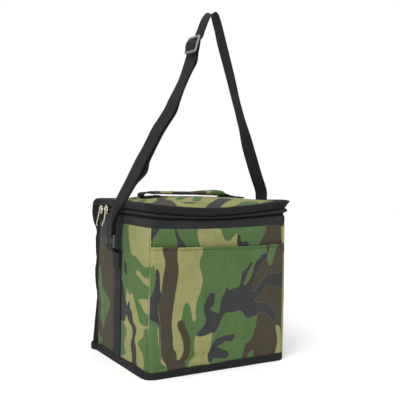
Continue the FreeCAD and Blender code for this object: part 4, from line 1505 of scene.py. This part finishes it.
# The adjuster: a rounded frame with a middle bar, lying on the strap's outer side.
def makeGlide():
    s = {"half": (15.0, 17.0), "corner": 4.5, "bar": 2.1, "deep": 1.7, "sides": 10,
         "place": (-25.3, 316.5), "roll": 10, "barHalf": (1.5, 15.8, 1.2), "barRows": 12}
    ahead = (strapPlace(-12.6, 337) - strapPlace(-24.6, 299)).normalized()
    out = ahead.cross(strapAcross).normalized()
    roll = Matrix.Rotation(math.radians(s["roll"]), 3, out)
    turn = roll @ Matrix((ahead, strapAcross, out)).transposed()
    frameRing = barFrame("tri_glide_frame", s, greyPlastic, "glide")

    def place(index, row):
        angle = 2 * math.pi * row / s["sides"]
        share = index / (s["barRows"] - 1) * 2 - 1
        spot = (math.cos(angle), share, math.sin(angle))
        return Vector([half * value for half, value in zip(s["barHalf"], spot)])

    bm = bmesh.new()
    addGrid(bm, s["barRows"], s["sides"] + 1, place)
    closeShell(bm)
    for obj in (frameRing, finishMesh("tri_glide_bar", bm, greyPlastic, "glide")):
        setPlace(obj, strapPlace(*s["place"]), turn)
    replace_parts(frameRing, "tri_glide")


def makeAnchors():
    s = {"thick": 1.6, "count": 60, "below": 4, "fromCloth": 1.1, "waves": 0.3, "tucked": 0.6,
         "tabWidth": 24.0, "tabThick": 1.4, "fromWall": 3.6}
    width = anchorHigh[1] - anchorLow[1]
    middle = swing["y"]
    low = anchorLow[2] - s["below"]
    high = anchorHigh[2]
    wall = bag["halfWidth"] + s["fromWall"]
    bar = swing["lowBar"]
    ring = -swing["ringX"]
    # The tab's x and height: sewn at the swing point and looped round the ring's lower bar.
    route = [(wall, bar - 36), (wall + 0.1, bar - 24), (wall + 0.2, bar - 14),
             (wall + 2.0, bar - 7.4), (ring - 4.4, bar - 3.6)]
    for index in range(7):
        angle = math.pi * (1.15 - 1.5 * index / 6)
        route.append((ring + swing["loop"] * math.cos(angle),
                      bar + swing["loop"] * math.sin(angle)))
    route += [(ring - 0.4, bar - 5.6), (wall + 4.6, bar - 10), (wall + 2.2, bar - 15),
              (wall + 1.8, bar - 26), (wall + 1.8, bar - 35)]
    for side in (-1, 1):
        across = Vector((0, side, 0))
        spots = []
        for index in range(s["count"]):
            z = low + (high - low) * index / (s["count"] - 1)
            out = wallBelly(side * bag["halfWidth"], middle, z) + s["fromCloth"]
            out += s["waves"] * ripple(side * 9, 0, z, 20, 2.0)
            if index == s["count"] - 1:
                out -= s["tucked"]
            spots.append((Vector((side * (bag["halfWidth"] + out), middle, z)), across))
        name = "side_anchor_" + sideName(side)
        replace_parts(webbingStrip(name + "_webbing", spots, width, s["thick"], "bag"), name)
        addBoxStitch(name + "_stitches", spots[-9:], width - 5, 0.95, "bag")

        name = "strap_tab_" + sideName(side)
        spots = [(Vector((side * x, middle, z)), across) for x, z in smoothLine(route, 6)]
        obj = webbingStrip(name + "_webbing", spots, s["tabWidth"], s["tabThick"], None)
        bendOverEdge(obj)
        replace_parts(obj, name)
        sewn = [(Vector((side * (wall + 1.8), middle, bar - 36 + 4 * index)), across)
                for index in range(5)]
        bendOverEdge(addBoxStitch(name + "_stitches", sewn, 19.0, 0.9, None))


# The moulded ring at each side.
def makeRings():
    s = {"half": (16.5, 11.0), "corner": 4.7, "bar": 2.0, "deep": 2.0, "sides": 12}
    turn = Matrix(((0, 0, 1), (1, 0, 0), (0, 1, 0)))
    height = (ringLow[2] + ringHigh[2]) / 2
    for side in (-1, 1):
        name = "strap_ring_" + sideName(side)
        obj = barFrame(name + "_bar", s, blackPlastic, None)
        setPlace(obj, Vector((-side * swing["ringX"], swing["y"], height)), turn)
        bendOverEdge(obj)
        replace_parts(obj, name)


# The foam and the base's cloth keep their CAD shapes.
def makeHardware():
    kept = {part + "_foam": foam for part in ("front", "back", "left", "right", "base")}
    kept["base_panel"] = bindingTape
    for node, material in kept.items():
        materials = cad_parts[node].data.materials
        materials.clear()
        materials.append(material)


# Each zip slider: a rounded body with a hoop on top and a slim pull that hangs from it.
def makeSliders():
    s = {"out": 130.4, "width": 3.6, "thick": 1.2, "hoopEnd": 238.5}
    # Each lump's y and height on the slider, and its three half sizes.
    lumps = [(0, 9.4, (2.8, 5.6, 3.6)), (-1, 13.6, (3.2, 3.6, 2.6)), (4.4, 10.6, (3.0, 2.8, 4.0)),
             (0.4, 4.8, (2.4, 4.0, 3.6))]
    # The distance outwards, y and height of each pull's points.
    routes = {
        "front": [(0.4, 50.6, 254.0), (1.6, 49.6, 250.0), (2.2, 50.0, 243.0), (1.8, 52.6, 234.6),
                  (1.2, 57.0, 227.0), (1.4, 62.0, 222.0), (2.0, 62.6, 219.0), (2.6, 60.0, 217.0)],
        "rear": [(0.4, 71.6, 253.0), (1.6, 72.6, 249.0), (2.4, 75.2, 243.0), (2.0, 79.4, 235.4),
                 (1.2, 85.0, 228.0), (1.0, 88.6, 223.0), (1.0, 89.2, 219.0), (1.4, 87.6, 216.4)],
    }
    for name, route in routes.items():
        low, high = cadBox("zip_slider_" + name)
        middle = (low[1] + high[1]) / 2
        bm = bmesh.new()
        for y, z, halfSizes in lumps:
            addBead(bm, Vector((-s["out"], middle + y, low[2] + z)), Matrix.Identity(3), halfSizes,
                    3)
        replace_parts(finishMesh("zip_slider_" + name + "_body", bm, castMetal, "slider_" + name),
                    "zip_slider_" + name)
        spots = [(Vector((-s["out"] - 1.2 - out, y, z)), Vector((0, 1, 0.25)))
                 for out, y, z in smoothLine(route, 5)]
        parting = next(index for index, spot in enumerate(spots) if spot[0].z < s["hoopEnd"])
        for piece, part, body in (("zip_slider_" + name + "_hoop", spots[:parting + 1], "slider_"),
                                  ("zip_pull_" + name + "_tab", spots[parting:], "pull_")):
            obj = webbingStrip(piece, part, s["width"], s["thick"], body + name, castMetal, 0.5, 7)
            if body == "pull_":
                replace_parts(obj, "zip_pull_" + name)


# Foil lining with soft creases: a tub in the bag and a sheet under the lid.
def makeLining():
    s = {"rows": 44, "floorRows": 14, "lidRows": 20, "corner": 6.0, "step": 5.0, "inset": 0.9,
         "hole": 0.02, "thick": 0.5, "wallCrease": 1.2, "floorCrease": 0.9, "lidCrease": 0.8,
         "lidInset": 2}
    reach = 1 - s["hole"]
    low, high = linerLow, linerHigh
    columns = planColumns(high[0], high[1], s["corner"], s["step"], 4)
    foot = low[2] + 2

    def place(index, row):
        column = columns[index]
        upRow = row - s["floorRows"]
        if upRow >= 0:
            z = foot + (high[2] - foot) * upRow / (s["rows"] - s["floorRows"] - 1)
            crease = s["wallCrease"] * ripple(column["x"], column["y"], z, 18, 4.0)
            return lifted(column, -s["inset"] - abs(crease), z)
        x, y = inwards(column, -s["inset"], s["hole"] + reach * row / s["floorRows"])
        crease = s["floorCrease"] * abs(ripple(x, y, 0, 20, 1.0))
        return Vector((x, y, low[2] + s["inset"] + crease))

    bm = bmesh.new()
    addGrid(bm, len(columns), s["rows"], place)
    closeMiddle(bm)
    bmesh.ops.reverse_faces(bm, faces=bm.faces)
    obj = finishMesh("lining_tub", bm, foil, "bag")
    solidify(obj, s["thick"])
    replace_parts(obj, "liner")

    under = upperTapeHigh[2] + 0.2
    lidColumns = planColumns(bag["halfWidth"] - s["lidInset"], bag["halfDepth"] - s["lidInset"],
                             bag["corner"], s["step"], 4)

    def lidPlace(index, row):
        share = s["hole"] + reach * row / s["lidRows"]
        x, y = inwards(lidColumns[index], 1.0, share)
        crease = s["lidCrease"] * abs(ripple(x, y, 0, 22, 7.0)) * (1 - share ** 6)
        return Vector((x, y, under + seamRise(x, y, under) * riseLeft(share) - crease))

    bm = bmesh.new()
    addGrid(bm, len(lidColumns), s["lidRows"] + 1, lidPlace)
    closeMiddle(bm)
    bmesh.ops.recalc_face_normals(bm, faces=bm.faces)
    obj = finishMesh("lid_lining", bm, foil, "lid")
    solidify(obj, s["thick"])
    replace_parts(obj, "lid_liner")


# The cloth hinge behind the zip's ends, from the back wall's top to the lid.
def makeHinge():
    s = {"rows": 19, "thick": 1.0, "overlap": 4, "halfway": 450, "bendReach": 7, "bulge": 1.6,
         "sunk": 0.5, "waves": 0.5, "tucked": 1.1, "belowTop": 3, "belowTape": 0.6}
    rear = [column for column in wallColumns(3.0) if column["y"] > bag["zipEnd"] - s["overlap"]]
    # The plan starts in the middle of the back, so its second half comes first here.
    columns = [column for column in rear if column["length"] > s["halfway"]]
    columns += [column for column in rear if column["length"] <= s["halfway"]][1:]
    low = bag["wallTop"] - s["belowTop"]
    high = upperTapeHigh[2] - s["belowTape"]

    def place(index, row):
        column = columns[index]
        share = row / (s["rows"] - 1)
        z = low + (high - low) * share
        x, y = column["x"], column["y"]
        outset = s["bulge"] * math.sin(math.pi * share) - s["sunk"]
        outset += s["waves"] * ripple(x, y, z, 26, 3.0) - s["tucked"] * (1 - ease(0, 0.12, share))
        return lifted(column, outset, z + seamRise(x, y, z))

    bm = bmesh.new()
    addGrid(bm, len(columns), s["rows"], place, lambda c, r: (c * 3.0, r * 1.6))
    obj = finishMesh("back_hinge_cloth", bm, zipTape, None)
    solidify(obj, s["thick"])
    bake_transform(obj)
    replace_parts(obj, "back_hinge_strip", "lid_hinge_strip")
    across = runningLengths([(column["x"], column["y"]) for column in columns])[-1]


makeCamera()
makeStage()
makeLights()
bpy.context.scene.view_settings.view_transform = "Standard"
print("stage")
makeBagWalls()
for side in (-1, 1):
    makeCornerSeam(side)
    makeBackBinding(side)
makeFrontPocket()
makeBaseBinding()
print("body")
makeZip()
makeLidBinding()
makeLidTop()
print("lid")
makeHandle()
print("handle")
makeAnchors()
makeShoulderStrap()
makeGlide()
makeRings()
makeHardware()
makeSliders()
print("straps and hardware")
makeLining()
makeHinge()
print("inside")
